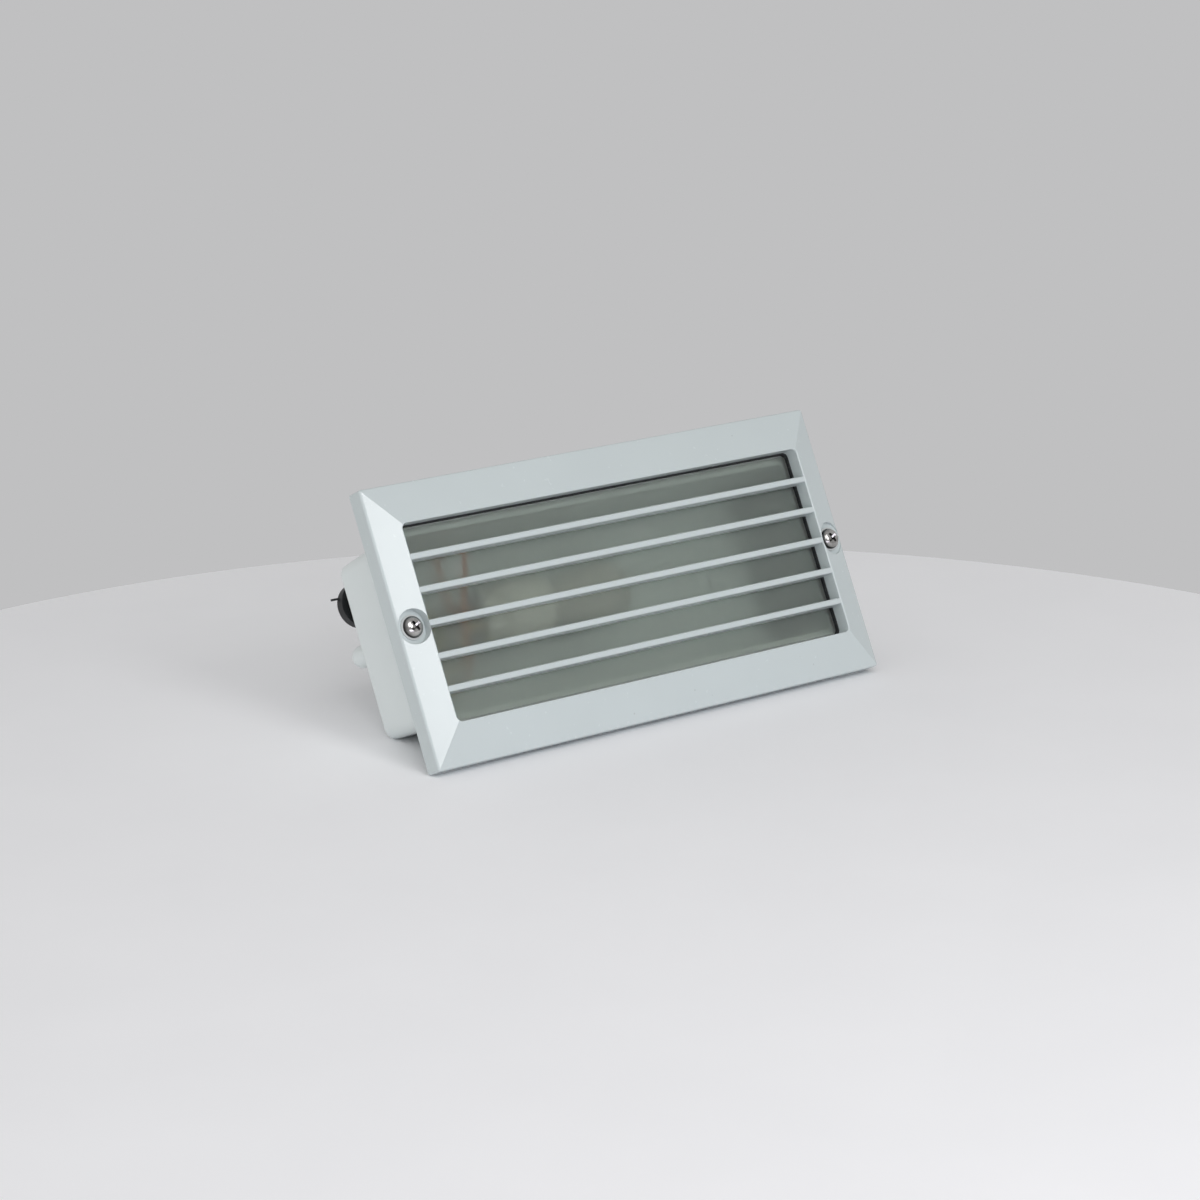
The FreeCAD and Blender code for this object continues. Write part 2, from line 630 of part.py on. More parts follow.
def floor_features():
    """Posts and pads cast on the floor inside the box."""
    root = FLOOR + FLOOR_ROOT
    features = []
    for x, z in fixing_points():
        features.append(rod_y(x, z, FIXING_PAD_RADIUS, FLOOR - FIXING_PAD_HEIGHT, root))
    for x, z in post_points():
        features.append(rod_y(x, z, POST_RADIUS, FLOOR - POST_HEIGHT, root))
    features.append(rod_y(-PEG_X, 0, EARTH_PAD_RADIUS, FLOOR - EARTH_PAD_HEIGHT, root))
    low = inside(BLOCK_START, BLOCK_PAD, BLOCK_TOP - BLOCK_LENGTH)
    high = Vector(low.x + BLOCK_WIDTH, root, BLOCK_TOP)
    features.append(box(low, high))
    return features


def floor_holes():
    """Fixing holes, cable entry and the blind tapped holes for the inner screws."""
    holes = []
    for x, z in fixing_points():
        holes.append(rod_y(x, z, FIXING_RADIUS, FLOOR - FIXING_PAD_HEIGHT - PAST, HOUSING_DEPTH + PAST))
    entry = GROMMET_NECK_RADIUS + GROMMET_GAP
    holes.append(rod_y(GROMMET_X, GROMMET_RISE, entry, FLOOR - PAST, HOUSING_DEPTH + PAST))
    tap = SMALL_SCREW_RADIUS + THREAD_CLEARANCE
    tap_end = FLOOR + FLOOR_ROOT
    for x, z in post_points():
        holes.append(rod_y(x, z, tap, FLOOR - POST_HEIGHT - PAST, tap_end))
    block_hole = block_screw_place()
    block_tap = BLOCK_SCREW_RADIUS + THREAD_CLEARANCE
    holes.append(rod_y(block_hole.x, block_hole.z, block_tap, FLOOR - BLOCK_PAD - PAST, tap_end))
    earth_end = FLOOR - EARTH_PAD_HEIGHT + EARTH_SCREW_LENGTH
    earth_tap = EARTH_SCREW_RADIUS + THREAD_CLEARANCE
    holes.append(rod_y(-PEG_X, 0, earth_tap, FLOOR - EARTH_PAD_HEIGHT - PAST, earth_end))
    return holes


def make_body_gasket():
    """Gasket between the step of the flange and the back of the glass."""
    outer_x = GLASS_X + BODY_GASKET_PROUD
    outer_z = GLASS_Z + BODY_GASKET_PROUD
    outer = (outer_x, outer_z, GLASS_CORNER)
    inner = (outer_x - BODY_GASKET_WIDTH, outer_z - BODY_GASKET_WIDTH, GLASS_CORNER)
    return ring(outer, inner, GLASS_BACK, STEP_FLOOR)


def make_cable_grommet():
    """Rubber grommet: lip inside, neck through the wall and a domed cap behind."""
    lip_front = FLOOR - GROMMET_LIP_THICKNESS
    lip_back = FLOOR
    cap_front = HOUSING_DEPTH + GROMMET_CAP_START
    rim_back = cap_front + GROMMET_CAP_RIM
    cap_back = cap_front + GROMMET_CAP_LENGTH
    x = GROMMET_X
    z = GROMMET_RISE
    corner = Vector(x + GROMMET_CAP_RADIUS, rim_back, z)
    shoulder = Vector(corner.x - GROMMET_SHOULDER_INSET, cap_back - GROMMET_SHOULDER_DROP, z)
    crown = Vector(x + CABLE_RADIUS, cap_back, z)
    profile = [
        (CABLE_RADIUS, lip_front), (GROMMET_LIP_RADIUS, lip_front), (GROMMET_LIP_RADIUS, lip_back),
        (GROMMET_NECK_RADIUS, lip_back), (GROMMET_NECK_RADIUS, cap_front), (GROMMET_CAP_RADIUS, cap_front),
    ]
    points = [Vector(x + radius, y, z) for radius, y in profile] + [corner]
    edges = Part.makePolygon(points).Edges
    edges.append(Part.Arc(corner, shoulder, crown).toShape())
    edges.append(Part.LineSegment(crown, points[0]).toShape())
    body = turned(edges, Vector(x, 0, z), ALONG_Y)
    tail_start = Vector(x - GROMMET_CAP_RADIUS + GROMMET_TAB_ROOT, rim_back - PAST, z + GROMMET_TAB_RISE)
    tail = Part.makeCylinder(GROMMET_TAB_RADIUS, GROMMET_TAB_LENGTH, tail_start, GROMMET_TAB_WAY)
    return joined([body, tail])


# ---- lampholder ---------------------------------------------------------------------------------
def lead_hole_centres():
    """Lead holes in the holder's closed end: upper first."""
    return [HOLDER_END + Vector(0, 0, side * LEAD_PAIR_OFFSET) for side in (1, -1)]


def holder_screw_centres():
    """Screw holes in the holder's closed end."""
    return [HOLDER_END + Vector(0, 0, side * HOLDER_SCREW_OFFSET) for side in (1, -1)]


def make_lampholder_body():
    """Stepped porcelain body with a lamp bore, a contact pocket and end holes."""
    body = turned_x([
        (0, 0), (0, HOLDER_NARROW_RADIUS - HOLDER_ROUND), (HOLDER_ROUND, HOLDER_NARROW_RADIUS),
        (HOLDER_NARROW_LENGTH, HOLDER_NARROW_RADIUS),
        (HOLDER_NARROW_LENGTH, HOLDER_RADIUS - HOLDER_ROUND),
        (HOLDER_NARROW_LENGTH + HOLDER_ROUND, HOLDER_RADIUS),
        (HOLDER_LENGTH - HOLDER_ROUND, HOLDER_RADIUS),
        (HOLDER_LENGTH, HOLDER_RADIUS - HOLDER_ROUND), (HOLDER_LENGTH, 0),
    ], HOLDER_END)
    bore_start = HOLDER_LENGTH - HOLDER_BORE_DEPTH
    bore = rod_x(HOLDER_END + Vector(bore_start, 0, 0), HOLDER_BORE_RADIUS, HOLDER_BORE_DEPTH + PAST)
    pocket_start = HOLDER_END + Vector(bore_start - CONTACT_POCKET_DEPTH, 0, 0)
    pocket = rod_x(pocket_start, CONTACT_POCKET_RADIUS, CONTACT_POCKET_DEPTH + PAST)
    cuts = [bore, pocket]
    for centre in lead_hole_centres():
        cuts.append(rod_x(centre - Vector(PAST, 0, 0), LEAD_RADIUS + LEAD_GAP, LEAD_END_DEPTH + 2 * PAST))
    for centre in holder_screw_centres():
        depth = HOLDER_SCREW_LENGTH - BRACKET_THICKNESS + HOLDER_SCREW_SPARE
        cuts.append(rod_x(centre - Vector(PAST, 0, 0), HOLDER_SCREW_RADIUS + THREAD_CLEARANCE, depth + PAST))
    return body.cut(cuts)


def make_lampholder_shell():
    """Screw shell that takes the lamp cap, with a flange on the bore's floor."""
    start = HOLDER_END + Vector(HOLDER_LENGTH - HOLDER_BORE_DEPTH, 0, 0)
    outer = SHELL_INNER + SHELL_WALL
    sleeve = rod_x(start, outer, SHELL_LENGTH).cut(rod_x(start, SHELL_INNER, SHELL_LENGTH))
    foot = rod_x(start, HOLDER_BORE_RADIUS - LEAD_GAP, SHELL_WALL)
    foot = foot.cut(rod_x(start, SHELL_INNER, SHELL_WALL))
    return joined([sleeve, foot])


def make_centre_contact():
    """Spring tongue in the pocket: a root and a lifted pad."""
    start = HOLDER_END + Vector(HOLDER_LENGTH - HOLDER_BORE_DEPTH - CONTACT_POCKET_DEPTH, 0, 0)
    low = start + Vector(0, -CONTACT_RADIUS, -CONTACT_RADIUS)
    root = box(low, low + Vector(CONTACT_THICKNESS, 2 * CONTACT_RADIUS, 2 * CONTACT_RADIUS))
    post_low = start + Vector(0, -CONTACT_RADIUS, CONTACT_RADIUS - CONTACT_THICKNESS)
    post_size = Vector(CONTACT_LIFT + CONTACT_THICKNESS, 2 * CONTACT_RADIUS, CONTACT_THICKNESS)
    post = box(post_low, post_low + post_size)
    pad_low = start + Vector(CONTACT_LIFT, -CONTACT_RADIUS, -CONTACT_RADIUS / 2)
    pad_high = start + Vector(CONTACT_LIFT + CONTACT_THICKNESS, CONTACT_RADIUS, CONTACT_RADIUS)
    return joined([root, post, box(pad_low, pad_high)])


def make_holder_bracket():
    """Bent steel angle: an upright behind the holder and a foot on the posts."""
    z_low = HOLDER_RISE - BRACKET_HALF_WIDTH
    face_x = HOLDER_END.x
    back_x = face_x - BRACKET_THICKNESS
    foot_x = back_x - BRACKET_FOOT
    front = HOLDER_END.y - BRACKET_FRONT
    foot_back = FLOOR - POST_HEIGHT
    foot_front = foot_back - BRACKET_THICKNESS
    inner_bend = BRACKET_BEND - BRACKET_THICKNESS
    slope = math.sqrt(0.5)

    def at(x, y):
        return Vector(x, y, z_low)

    outer_centre = at(face_x - BRACKET_BEND, foot_back - BRACKET_BEND)
    outer_middle = outer_centre + Vector(BRACKET_BEND * slope, BRACKET_BEND * slope, 0)
    inner_middle = outer_centre + Vector(inner_bend * slope, inner_bend * slope, 0)
    edges = [
        Part.LineSegment(at(back_x, front), at(face_x, front)).toShape(),
        Part.LineSegment(at(face_x, front), at(face_x, outer_centre.y)).toShape(),
        Part.Arc(at(face_x, outer_centre.y), outer_middle, at(outer_centre.x, foot_back)).toShape(),
        Part.LineSegment(at(outer_centre.x, foot_back), at(foot_x, foot_back)).toShape(),
        Part.LineSegment(at(foot_x, foot_back), at(foot_x, foot_front)).toShape(),
        Part.LineSegment(at(foot_x, foot_front), at(outer_centre.x, foot_front)).toShape(),
        Part.Arc(at(outer_centre.x, foot_front), inner_middle, at(back_x, outer_centre.y)).toShape(),
        Part.LineSegment(at(back_x, outer_centre.y), at(back_x, front)).toShape(),
    ]
    solid = Part.Face(Part.Wire(edges)).extrude(Vector(0, 0, 2 * BRACKET_HALF_WIDTH))
    through = BRACKET_THICKNESS + 2 * PAST
    lead_hole_start = HOLDER_END - Vector(BRACKET_THICKNESS + PAST, 0, 0)
    cuts = [rod_x(lead_hole_start, BRACKET_LEAD_HOLE, through)]
    for centre in holder_screw_centres():
        start = centre - Vector(BRACKET_THICKNESS + PAST, 0, 0)
        cuts.append(rod_x(start, HOLDER_SCREW_RADIUS + LEAD_GAP, through))
    for x, z in post_points():
        cuts.append(rod_y(x, z, SMALL_SCREW_RADIUS + HOLE_CLEARANCE, foot_front - PAST, foot_back + PAST))
    return solid.cut(cuts)


def make_bracket_screws():
    """Two screws through the foot into the posts."""
    under = FLOOR - POST_HEIGHT - BRACKET_THICKNESS
    screws = []
    for x, z in post_points():
        screws.append(slotted_screw(x, z, under, SMALL_SCREW_RADIUS, SMALL_SCREW_LENGTH,
                                    SMALL_HEAD_RADIUS, SMALL_HEAD_HEIGHT))
    return group(screws)


def make_holder_screws():
    """Two small screws through the upright into the porcelain."""
    screws = []
    for centre in holder_screw_centres():
        under = centre - Vector(BRACKET_THICKNESS, 0, 0)
        top = under - Vector(HOLDER_SCREW_HEAD_HEIGHT, 0, 0)
        head = rod_x(top, HOLDER_SCREW_HEAD, HOLDER_SCREW_HEAD_HEIGHT)
        shank = rod_x(under, HOLDER_SCREW_RADIUS, HOLDER_SCREW_LENGTH)
        reach = HOLDER_SCREW_HEAD + PAST
        low = top + Vector(-PAST, -reach, -SMALL_SLOT_WIDTH / 2)
        high = top + Vector(SMALL_SLOT_DEPTH, reach, SMALL_SLOT_WIDTH / 2)
        screws.append(joined([head, shank]).cut(box(low, high)))
    return group(screws)


# ---- lamp ------------------------------------------------------------------------------------------
LAMP_TIP = HOLDER_END + Vector(CAP_TIP, 0, 0)


def make_lamp_contact():
    """Solder button at the end of the lamp."""
    return turned_x([(0, 0), (0, TIP_NOSE_RADIUS), (TIP_LENGTH / 2, TIP_RADIUS),
                     (TIP_LENGTH, TIP_RADIUS), (TIP_LENGTH, 0)], LAMP_TIP)


def make_lamp_insulator():
    """Dark glass cone between the solder button and the cap."""
    start = LAMP_TIP + Vector(TIP_LENGTH, 0, 0)
    return turned_x([(0, 0), (0, INSULATOR_TIP_RADIUS), (INSULATOR_LENGTH, CAP_RADIUS - CAP_WALL),
                     (INSULATOR_LENGTH, 0)], start)


def cap_start():
    """Start of the metal cap along the lamp."""
    return TIP_LENGTH + INSULATOR_LENGTH


def make_lamp_cap():
    """Metal sleeve with a closed rim on the insulator."""
    start = LAMP_TIP + Vector(cap_start(), 0, 0)
    inner = CAP_RADIUS - CAP_WALL
    closing = inner - CAP_CLOSING
    return turned_x([(0, closing), (0, CAP_RADIUS), (CAP_LENGTH, CAP_RADIUS), (CAP_LENGTH, inner),
                     (CAP_WALL, inner), (CAP_WALL, closing)], start)


def bulb_profile(offset):
    """Half outline of the bulb from its open neck to its end, drawn in by offset."""
    neck_start = cap_start() + CAP_WALL + BULB_NECK_GAP
    neck_end = cap_start() + CAP_LENGTH + BULB_NECK_OUT
    neck = CAP_RADIUS - CAP_WALL - BULB_NECK_GAP - offset
    full = BULB_RADIUS - offset
    end = BULB_LENGTH - offset
    ball_centre = BULB_LENGTH - BULB_RADIUS
    shoulder_along = neck_end + BULB_SHOULDER_SHARE * (ball_centre - neck_end)
    shoulder_radius = neck + BULB_SHOULDER_SHARE * (full - neck)
    slope = math.sqrt(0.5)

    def at(along, radius):
        return LAMP_TIP + Vector(along, 0, radius)

    neck_arc_middle = at((neck_end + shoulder_along) / 2, neck + BULB_SHOULDER_DIP * (full - neck))
    side_arc_middle = at((shoulder_along + ball_centre) / 2, neck + BULB_SHOULDER_SWELL * (full - neck))
    ball_middle = at(ball_centre + full * slope, full * slope)
    edges = [
        Part.LineSegment(at(neck_start, neck), at(neck_end, neck)).toShape(),
        Part.Arc(at(neck_end, neck), neck_arc_middle, at(shoulder_along, shoulder_radius)).toShape(),
        Part.Arc(at(shoulder_along, shoulder_radius), side_arc_middle, at(ball_centre, full)).toShape(),
        Part.Arc(at(ball_centre, full), ball_middle, at(end, 0)).toShape(),
    ]
    return edges, at(neck_start, neck), at(end, 0)


def make_lamp_glass():
    """Clear bulb: outer body less the same body drawn in by the wall."""
    bodies = []
    for offset in (0, BULB_WALL):
        edges, start, end = bulb_profile(offset)
        foot = Vector(start.x, start.y, HOLDER_END.z)
        closing = [Part.LineSegment(end, foot).toShape(), Part.LineSegment(foot, start).toShape()]
        bodies.append(turned(edges + closing, HOLDER_END, ALONG_X))
    return bodies[0].cut(bodies[1])


def stem_start():
    """Point on the lamp's axis where its glass begins, inside the cap."""
    return LAMP_TIP + Vector(cap_start() + CAP_WALL + BULB_NECK_GAP, 0, 0)


def make_lamp_stem():
    """Glass stem that carries the support wires."""
    start = stem_start()
    flare = CAP_RADIUS - CAP_WALL - 2 * BULB_NECK_GAP - BULB_WALL
    end = STEM_LENGTH + STEM_TIP
    return turned_x([(0, 0), (0, flare), (STEM_FLARE_EDGE, flare), (STEM_FLARE_LENGTH, STEM_RADIUS),
                     (STEM_LENGTH, STEM_RADIUS), (end, STEM_TIP_RADIUS), (end, 0)], start)


def wire_ends():
    """Tips of the two support wires, upper first."""
    along = STEM_LENGTH + FILAMENT_FORWARD
    return [stem_start() + Vector(along, 0, side * WIRE_SPREAD) for side in (1, -1)]


def make_support_wires():
    """Two straight wires leaving the end of the stem."""
    root_along = STEM_LENGTH + STEM_TIP + WIRE_ROOT_GAP
    wires = []
    for side, tip in zip((1, -1), wire_ends()):
        root = stem_start() + Vector(root_along, 0, side * WIRE_ROOT_SPREAD)
        way = tip - root
        wires.append(Part.makeCylinder(WIRE_RADIUS, way.Length, root, way))
    return group(wires)


def make_filament():
    """Bowed filament between the support wires."""
    upper, lower = wire_ends()
    middle = (upper + lower) * 0.5 + Vector(FILAMENT_BOW, 0, 0)
    lift = Vector(WIRE_RADIUS + FILAMENT_RADIUS, 0, 0)
    path = Part.Wire([Part.Arc(upper + lift, middle + lift, lower + lift).toShape()])
    way = path.Edges[0].tangentAt(path.Edges[0].FirstParameter)
    profile = Part.Wire(Part.makeCircle(FILAMENT_RADIUS, upper + lift, way))
    return path.makePipeShell([profile], True, False)


# ---- terminal block, earth and leads ------------------------------------------------------------
def pole_centres():
    """Middle of each pole on its lead axis, lowest first."""
    lift = BLOCK_PAD + POLE_AXIS
    first = BLOCK_TOP - BLOCK_LENGTH + POLE_PITCH / 2
    return [inside(BLOCK_START + BLOCK_WIDTH / 2, lift, first + n * POLE_PITCH) for n in range(POLE_COUNT)]


def clamp_places():
    """Axes of the clamping screws, two to a pole."""
    return [centre + Vector(side * TURRET_OFFSET, 0, 0) for centre in pole_centres() for side in (-1, 1)]


def block_screw_place():
    """Fixing screw between the two lower poles."""
    low, middle = pole_centres()[:2]
    return (low + middle) * 0.5


def block_front():
    """Depth of the block's front between the turrets."""
    return FLOOR - BLOCK_PAD - BLOCK_HEIGHT


def make_terminal_block():
    """Moulded block with a lead channel per pole and a turret per clamping screw."""
    low = inside(BLOCK_START, BLOCK_PAD + BLOCK_HEIGHT, BLOCK_TOP - BLOCK_LENGTH)
    high = inside(BLOCK_START + BLOCK_WIDTH, BLOCK_PAD, BLOCK_TOP)
    body = box(low, high)
    front = block_front()
    turrets = []
    cuts = []
    for centre in clamp_places():
        turrets.append(rod_y(centre.x, centre.z, TURRET_RADIUS, front - TURRET_HEIGHT, front + PAST))
        cuts.append(rod_y(centre.x, centre.z, CLAMP_WELL, front - TURRET_HEIGHT - PAST, centre.y))
    for centre in pole_centres():
        start = centre - Vector(BLOCK_WIDTH / 2 + 1, 0, 0)
        cuts.append(rod_x(start, BARREL_RADIUS + BARREL_GAP, BLOCK_WIDTH + 2 * PAST))
    place = block_screw_place()
    cuts.append(rod_y(place.x, place.z, BLOCK_SCREW_RADIUS + BARREL_GAP, front - PAST, FLOOR))
    return joined([body] + turrets).cut(cuts)


def make_terminal_barrels():
    """Brass barrels that join the leads, one to a pole."""
    barrels = []
    for centre in pole_centres():
        start = centre - Vector(BARREL_LENGTH / 2, 0, 0)
        barrel = rod_x(start, BARREL_RADIUS, BARREL_LENGTH)
        barrel = barrel.cut(rod_x(start, LEAD_RADIUS + LEAD_GAP, BARREL_LENGTH))
        for side in (-1, 1):
            x = centre.x + side * TURRET_OFFSET
            front = centre.y - BARREL_RADIUS - PAST
            hole = rod_y(x, centre.z, CLAMP_RADIUS + THREAD_CLEARANCE, front, centre.y)
            barrel = barrel.cut(hole)
        barrels.append(barrel)
    return group(barrels)


def make_clamp_screws():
    """Slotted grub screws that press on the leads."""
    screws = []
    front = block_front() - TURRET_HEIGHT + CLAMP_SUNK
    for centre in clamp_places():
        stop = centre.y - LEAD_RADIUS
        screw = rod_y(centre.x, centre.z, CLAMP_RADIUS, front, stop)
        reach = CLAMP_RADIUS + PAST
        low = Vector(centre.x - reach, front - PAST, centre.z - SMALL_SLOT_WIDTH / 2)
        high = Vector(centre.x + reach, front + SMALL_SLOT_DEPTH, centre.z + SMALL_SLOT_WIDTH / 2)
        screws.append(screw.cut(box(low, high)))
    return group(screws)


def make_block_screw():
    """Screw that holds the terminal block on its pad."""
    place = block_screw_place()
    return slotted_screw(place.x, place.z, block_front(), BLOCK_SCREW_RADIUS,
                         BLOCK_HEIGHT + BLOCK_PAD, BLOCK_SCREW_HEAD, SMALL_HEAD_HEIGHT)


def tag_front():
    """Depth of the earth tag's front face."""
    return FLOOR - EARTH_PAD_HEIGHT - EARTH_TAG_THICKNESS


def tag_way():
    """Direction of the crimp in the plane of the tag."""
    turn = math.radians(EARTH_TAG_ANGLE)
    return Vector(math.cos(turn), 0, math.sin(turn))


def make_earth_tag():
    """Ring tag under the earth screw with a crimp for the earth lead."""
    back = FLOOR - EARTH_PAD_HEIGHT
    disc = rod_y(-PEG_X, 0, EARTH_TAG_RADIUS, tag_front(), back)
    way = tag_way()
    across = Vector(-way.z, 0, way.x)
    centre = Vector(-PEG_X, tag_front(), 0)
    corners = [centre - across * CRIMP_RADIUS, centre + across * CRIMP_RADIUS,
               centre + way * EARTH_TAG_REACH + across * CRIMP_RADIUS,
               centre + way * EARTH_TAG_REACH - across * CRIMP_RADIUS]
    tongue = Part.Face(Part.makePolygon(corners + [corners[0]])).extrude(Vector(0, EARTH_TAG_THICKNESS, 0))
    crimp_start = crimp_centre()
    crimp = Part.makeCylinder(CRIMP_RADIUS, CRIMP_LENGTH, crimp_start, way)
    tag = joined([disc, tongue, crimp])
    tag = tag.cut(Part.makeCylinder(LEAD_RADIUS + CRIMP_GAP, CRIMP_LENGTH + 2 * PAST, crimp_start - way, way))
    return tag.cut(rod_y(-PEG_X, 0, EARTH_SCREW_RADIUS + LEAD_GAP, tag_front() - PAST, back + PAST))


def crimp_centre():
    """Start of the crimp's axis."""
    centre = Vector(-PEG_X, tag_front(), 0)
    lift = Vector(0, CRIMP_RADIUS - EARTH_TAG_THICKNESS, 0)
    return centre + tag_way() * (EARTH_TAG_REACH - CRIMP_OVERLAP) - lift


def make_earth_washer():
    """Spring washer between the earth screw's head and the tag."""
    back = tag_front()
    disc = rod_y(-PEG_X, 0, EARTH_HEAD_RADIUS, back - EARTH_WASHER_THICKNESS, back)
    hole = rod_y(-PEG_X, 0, EARTH_SCREW_RADIUS + LEAD_GAP, back - EARTH_WASHER_THICKNESS - PAST, back + PAST)
    return disc.cut(hole)


def make_earth_screw():
    """Earth screw into the peg behind the box."""
    under = tag_front() - EARTH_WASHER_THICKNESS
    return slotted_screw(-PEG_X, 0, under, EARTH_SCREW_RADIUS, EARTH_SCREW_LENGTH,
                         EARTH_HEAD_RADIUS, SMALL_HEAD_HEIGHT)


def lead_start(pole):
    """End of a lead inside its barrel, just past the clamping screw."""
    return pole + Vector(TURRET_OFFSET - CLAMP_RADIUS - LEAD_PAST_CLAMP, 0, 0)


def make_live_lead():
    """Lowest pole to the upper hole of the holder, in a loop over the bracket."""
    upper_hole = lead_hole_centres()[0]
    start = lead_start(pole_centres()[0])
    route = [
        start,
        start + Vector(13.0, 0, 0),
        inside(31.5, 22.5, -19.0),
        inside(28.0, 31.0, 0.0),
        inside(34.0, 32.8, 19.0),
        inside(39.5, 31.0, 32.0),
        inside(29.0, 23.0, 32.0),
        inside(29.6, 21.5, 18.0),
        Vector(upper_hole.x - 12.0, upper_hole.y, upper_hole.z),
        Vector(upper_hole.x + LEAD_END_DEPTH, upper_hole.y, upper_hole.z),
    ]
    return tube(route, LEAD_RADIUS)


def make_neutral_lead():
    """Middle pole to the lower hole of the holder."""
    lower_hole = lead_hole_centres()[1]
    start = lead_start(pole_centres()[1])
    route = [
        start,
        start + Vector(13.0, 0, 0),
        inside(33.0, 20.0, -14.0),
        Vector(lower_hole.x - 10.0, lower_hole.y, lower_hole.z),
        Vector(lower_hole.x + LEAD_END_DEPTH, lower_hole.y, lower_hole.z),
    ]
    return tube(route, LEAD_RADIUS)


def make_earth_lead():
    """Upper pole round to the earth tag."""
    way = tag_way()
    crimp = crimp_centre()
    start = lead_start(pole_centres()[2])
    route = [
        start,
        start + Vector(9.0, 0, 0),
        inside(29.0, 12.0, 2.0),
        inside(20.0, 10.0, 12.0),
        crimp + way * (CRIMP_LENGTH + 2.5),
        crimp,
    ]
    return tube(route, LEAD_RADIUS)


PIECES = {
    "cover": make_cover,
    "glass_gasket": make_glass_gasket,
    "glass_pane": make_glass_pane,
    "cover_screw_left": lambda: make_cover_screw(-1),
    "cover_screw_right": lambda: make_cover_screw(1),
    "screw_washer_left": lambda: make_screw_washer(-1),
    "screw_washer_right": lambda: make_screw_washer(1),
    "housing": make_housing,
    "body_gasket": make_body_gasket,
    "cable_grommet": make_cable_grommet,
    "lampholder_body": make_lampholder_body,
    "lampholder_shell": make_lampholder_shell,
    "lampholder_centre_contact": make_centre_contact,
    "holder_bracket": make_holder_bracket,
    "bracket_screws": make_bracket_screws,
    "holder_screws": make_holder_screws,
    "lamp_glass": make_lamp_glass,
    "lamp_cap": make_lamp_cap,
    "lamp_insulator": make_lamp_insulator,
    "lamp_contact": make_lamp_contact,
    "lamp_stem": make_lamp_stem,
    "lamp_support_wires": make_support_wires,
    "lamp_filament": make_filament,
    "terminal_block": make_terminal_block,
    "terminal_barrels": make_terminal_barrels,
    "terminal_clamp_screws": make_clamp_screws,
    "terminal_block_screw": make_block_screw,
    "earth_screw": make_earth_screw,
    "earth_washer": make_earth_washer,
    "earth_tag": make_earth_tag,
    "live_lead": make_live_lead,
    "neutral_lead": make_neutral_lead,
    "earth_lead": make_earth_lead,
}


def main():
    """Write every piece to its own file."""
    os.makedirs("parts", exist_ok=True)
    for name, make in PIECES.items():
        shape = make()
        solids = shape.Solids
        valid = all(solid.isValid() and solid.Volume > 0 for solid in solids)
        print(name, len(solids), round(shape.Volume, 1), "valid" if valid else "NOT VALID")
        shape.exportStep("parts/" + name + ".step")


main()
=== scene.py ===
"""Finishes, fine pieces and stage for a recessed step light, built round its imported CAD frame.

Metres throughout. X runs along the face, Z up the wall and Y into it, as in the CAD frame.
"""

import math

import bpy
from bpy.props import FloatProperty, FloatVectorProperty, IntProperty, PointerProperty
from mathutils import Matrix, Vector


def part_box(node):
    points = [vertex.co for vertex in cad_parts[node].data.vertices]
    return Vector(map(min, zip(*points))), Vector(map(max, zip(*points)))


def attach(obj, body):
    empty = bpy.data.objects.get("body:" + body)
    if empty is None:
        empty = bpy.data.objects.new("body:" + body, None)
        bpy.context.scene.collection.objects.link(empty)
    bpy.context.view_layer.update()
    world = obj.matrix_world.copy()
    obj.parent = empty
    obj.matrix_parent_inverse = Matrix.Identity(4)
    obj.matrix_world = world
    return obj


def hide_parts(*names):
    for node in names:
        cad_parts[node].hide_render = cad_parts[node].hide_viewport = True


bl_info = {
    "name": "Step Light Finishes",
    "version": (1, 0, 0),
    "blender": (4, 5, 0),
    "location": "3D View > Sidebar > Step Light",
    "description": "Dresses a recessed louvred step light with its paints, glass, screws, lamp and leads",
    "category": "Object",
}

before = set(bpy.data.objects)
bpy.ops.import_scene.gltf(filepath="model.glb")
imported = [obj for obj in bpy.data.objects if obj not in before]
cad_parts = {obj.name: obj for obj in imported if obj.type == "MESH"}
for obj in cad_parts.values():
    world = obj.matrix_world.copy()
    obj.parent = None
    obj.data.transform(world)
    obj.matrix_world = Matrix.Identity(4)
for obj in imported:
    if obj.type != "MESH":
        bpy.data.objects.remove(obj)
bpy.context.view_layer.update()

MM = 0.001


def linear(code):
    """sRGB hex code as linear red, green and blue."""
    values = []
    for start in (1, 3, 5):
        share = int(code[start:start + 2], 16) / 255
        values.append(share / 12.92 if share <= 0.04045 else ((share + 0.055) / 1.055) ** 2.4)
    return tuple(values)


# ---- what a user would change --------------------------------------------------------------


def length(name, description, default):
    """A length in metres."""
    return FloatProperty(name=name, description=description, default=default, min=0.0,
                         unit="LENGTH", subtype="DISTANCE", precision=5)


def colour(name, description, code):
    """A colour, given as sRGB hex."""
    return FloatVectorProperty(name=name, description=description, default=linear(code),
                               size=3, min=0.0, max=1.0, subtype="COLOR")


def share(name, description, default):
    """A value from 0 to 1."""
    return FloatProperty(name=name, description=description, default=default,
                         min=0.0, max=1.0, subtype="FACTOR")


class StepLightFinish(bpy.types.PropertyGroup):
    """Paints, glass and rubber."""

    cover_paint: colour("Cover paint", "Enamel on the louvred cover", "#C7D0D0")
    housing_paint: colour("Housing paint", "Enamel on the wall box", "#E2E9E8")
    paint_roughness: share("Paint roughness", "How satin the enamel is", 0.26)
    glass_tint: colour("Glass tint", "Colour of the frosted pane", "#E5EBE4")
    glass_roughness: share("Frosting", "How far the pane blurs what is behind it", 0.262)
    rubber: colour("Rubber", "Gaskets and cable grommet", "#16181A")


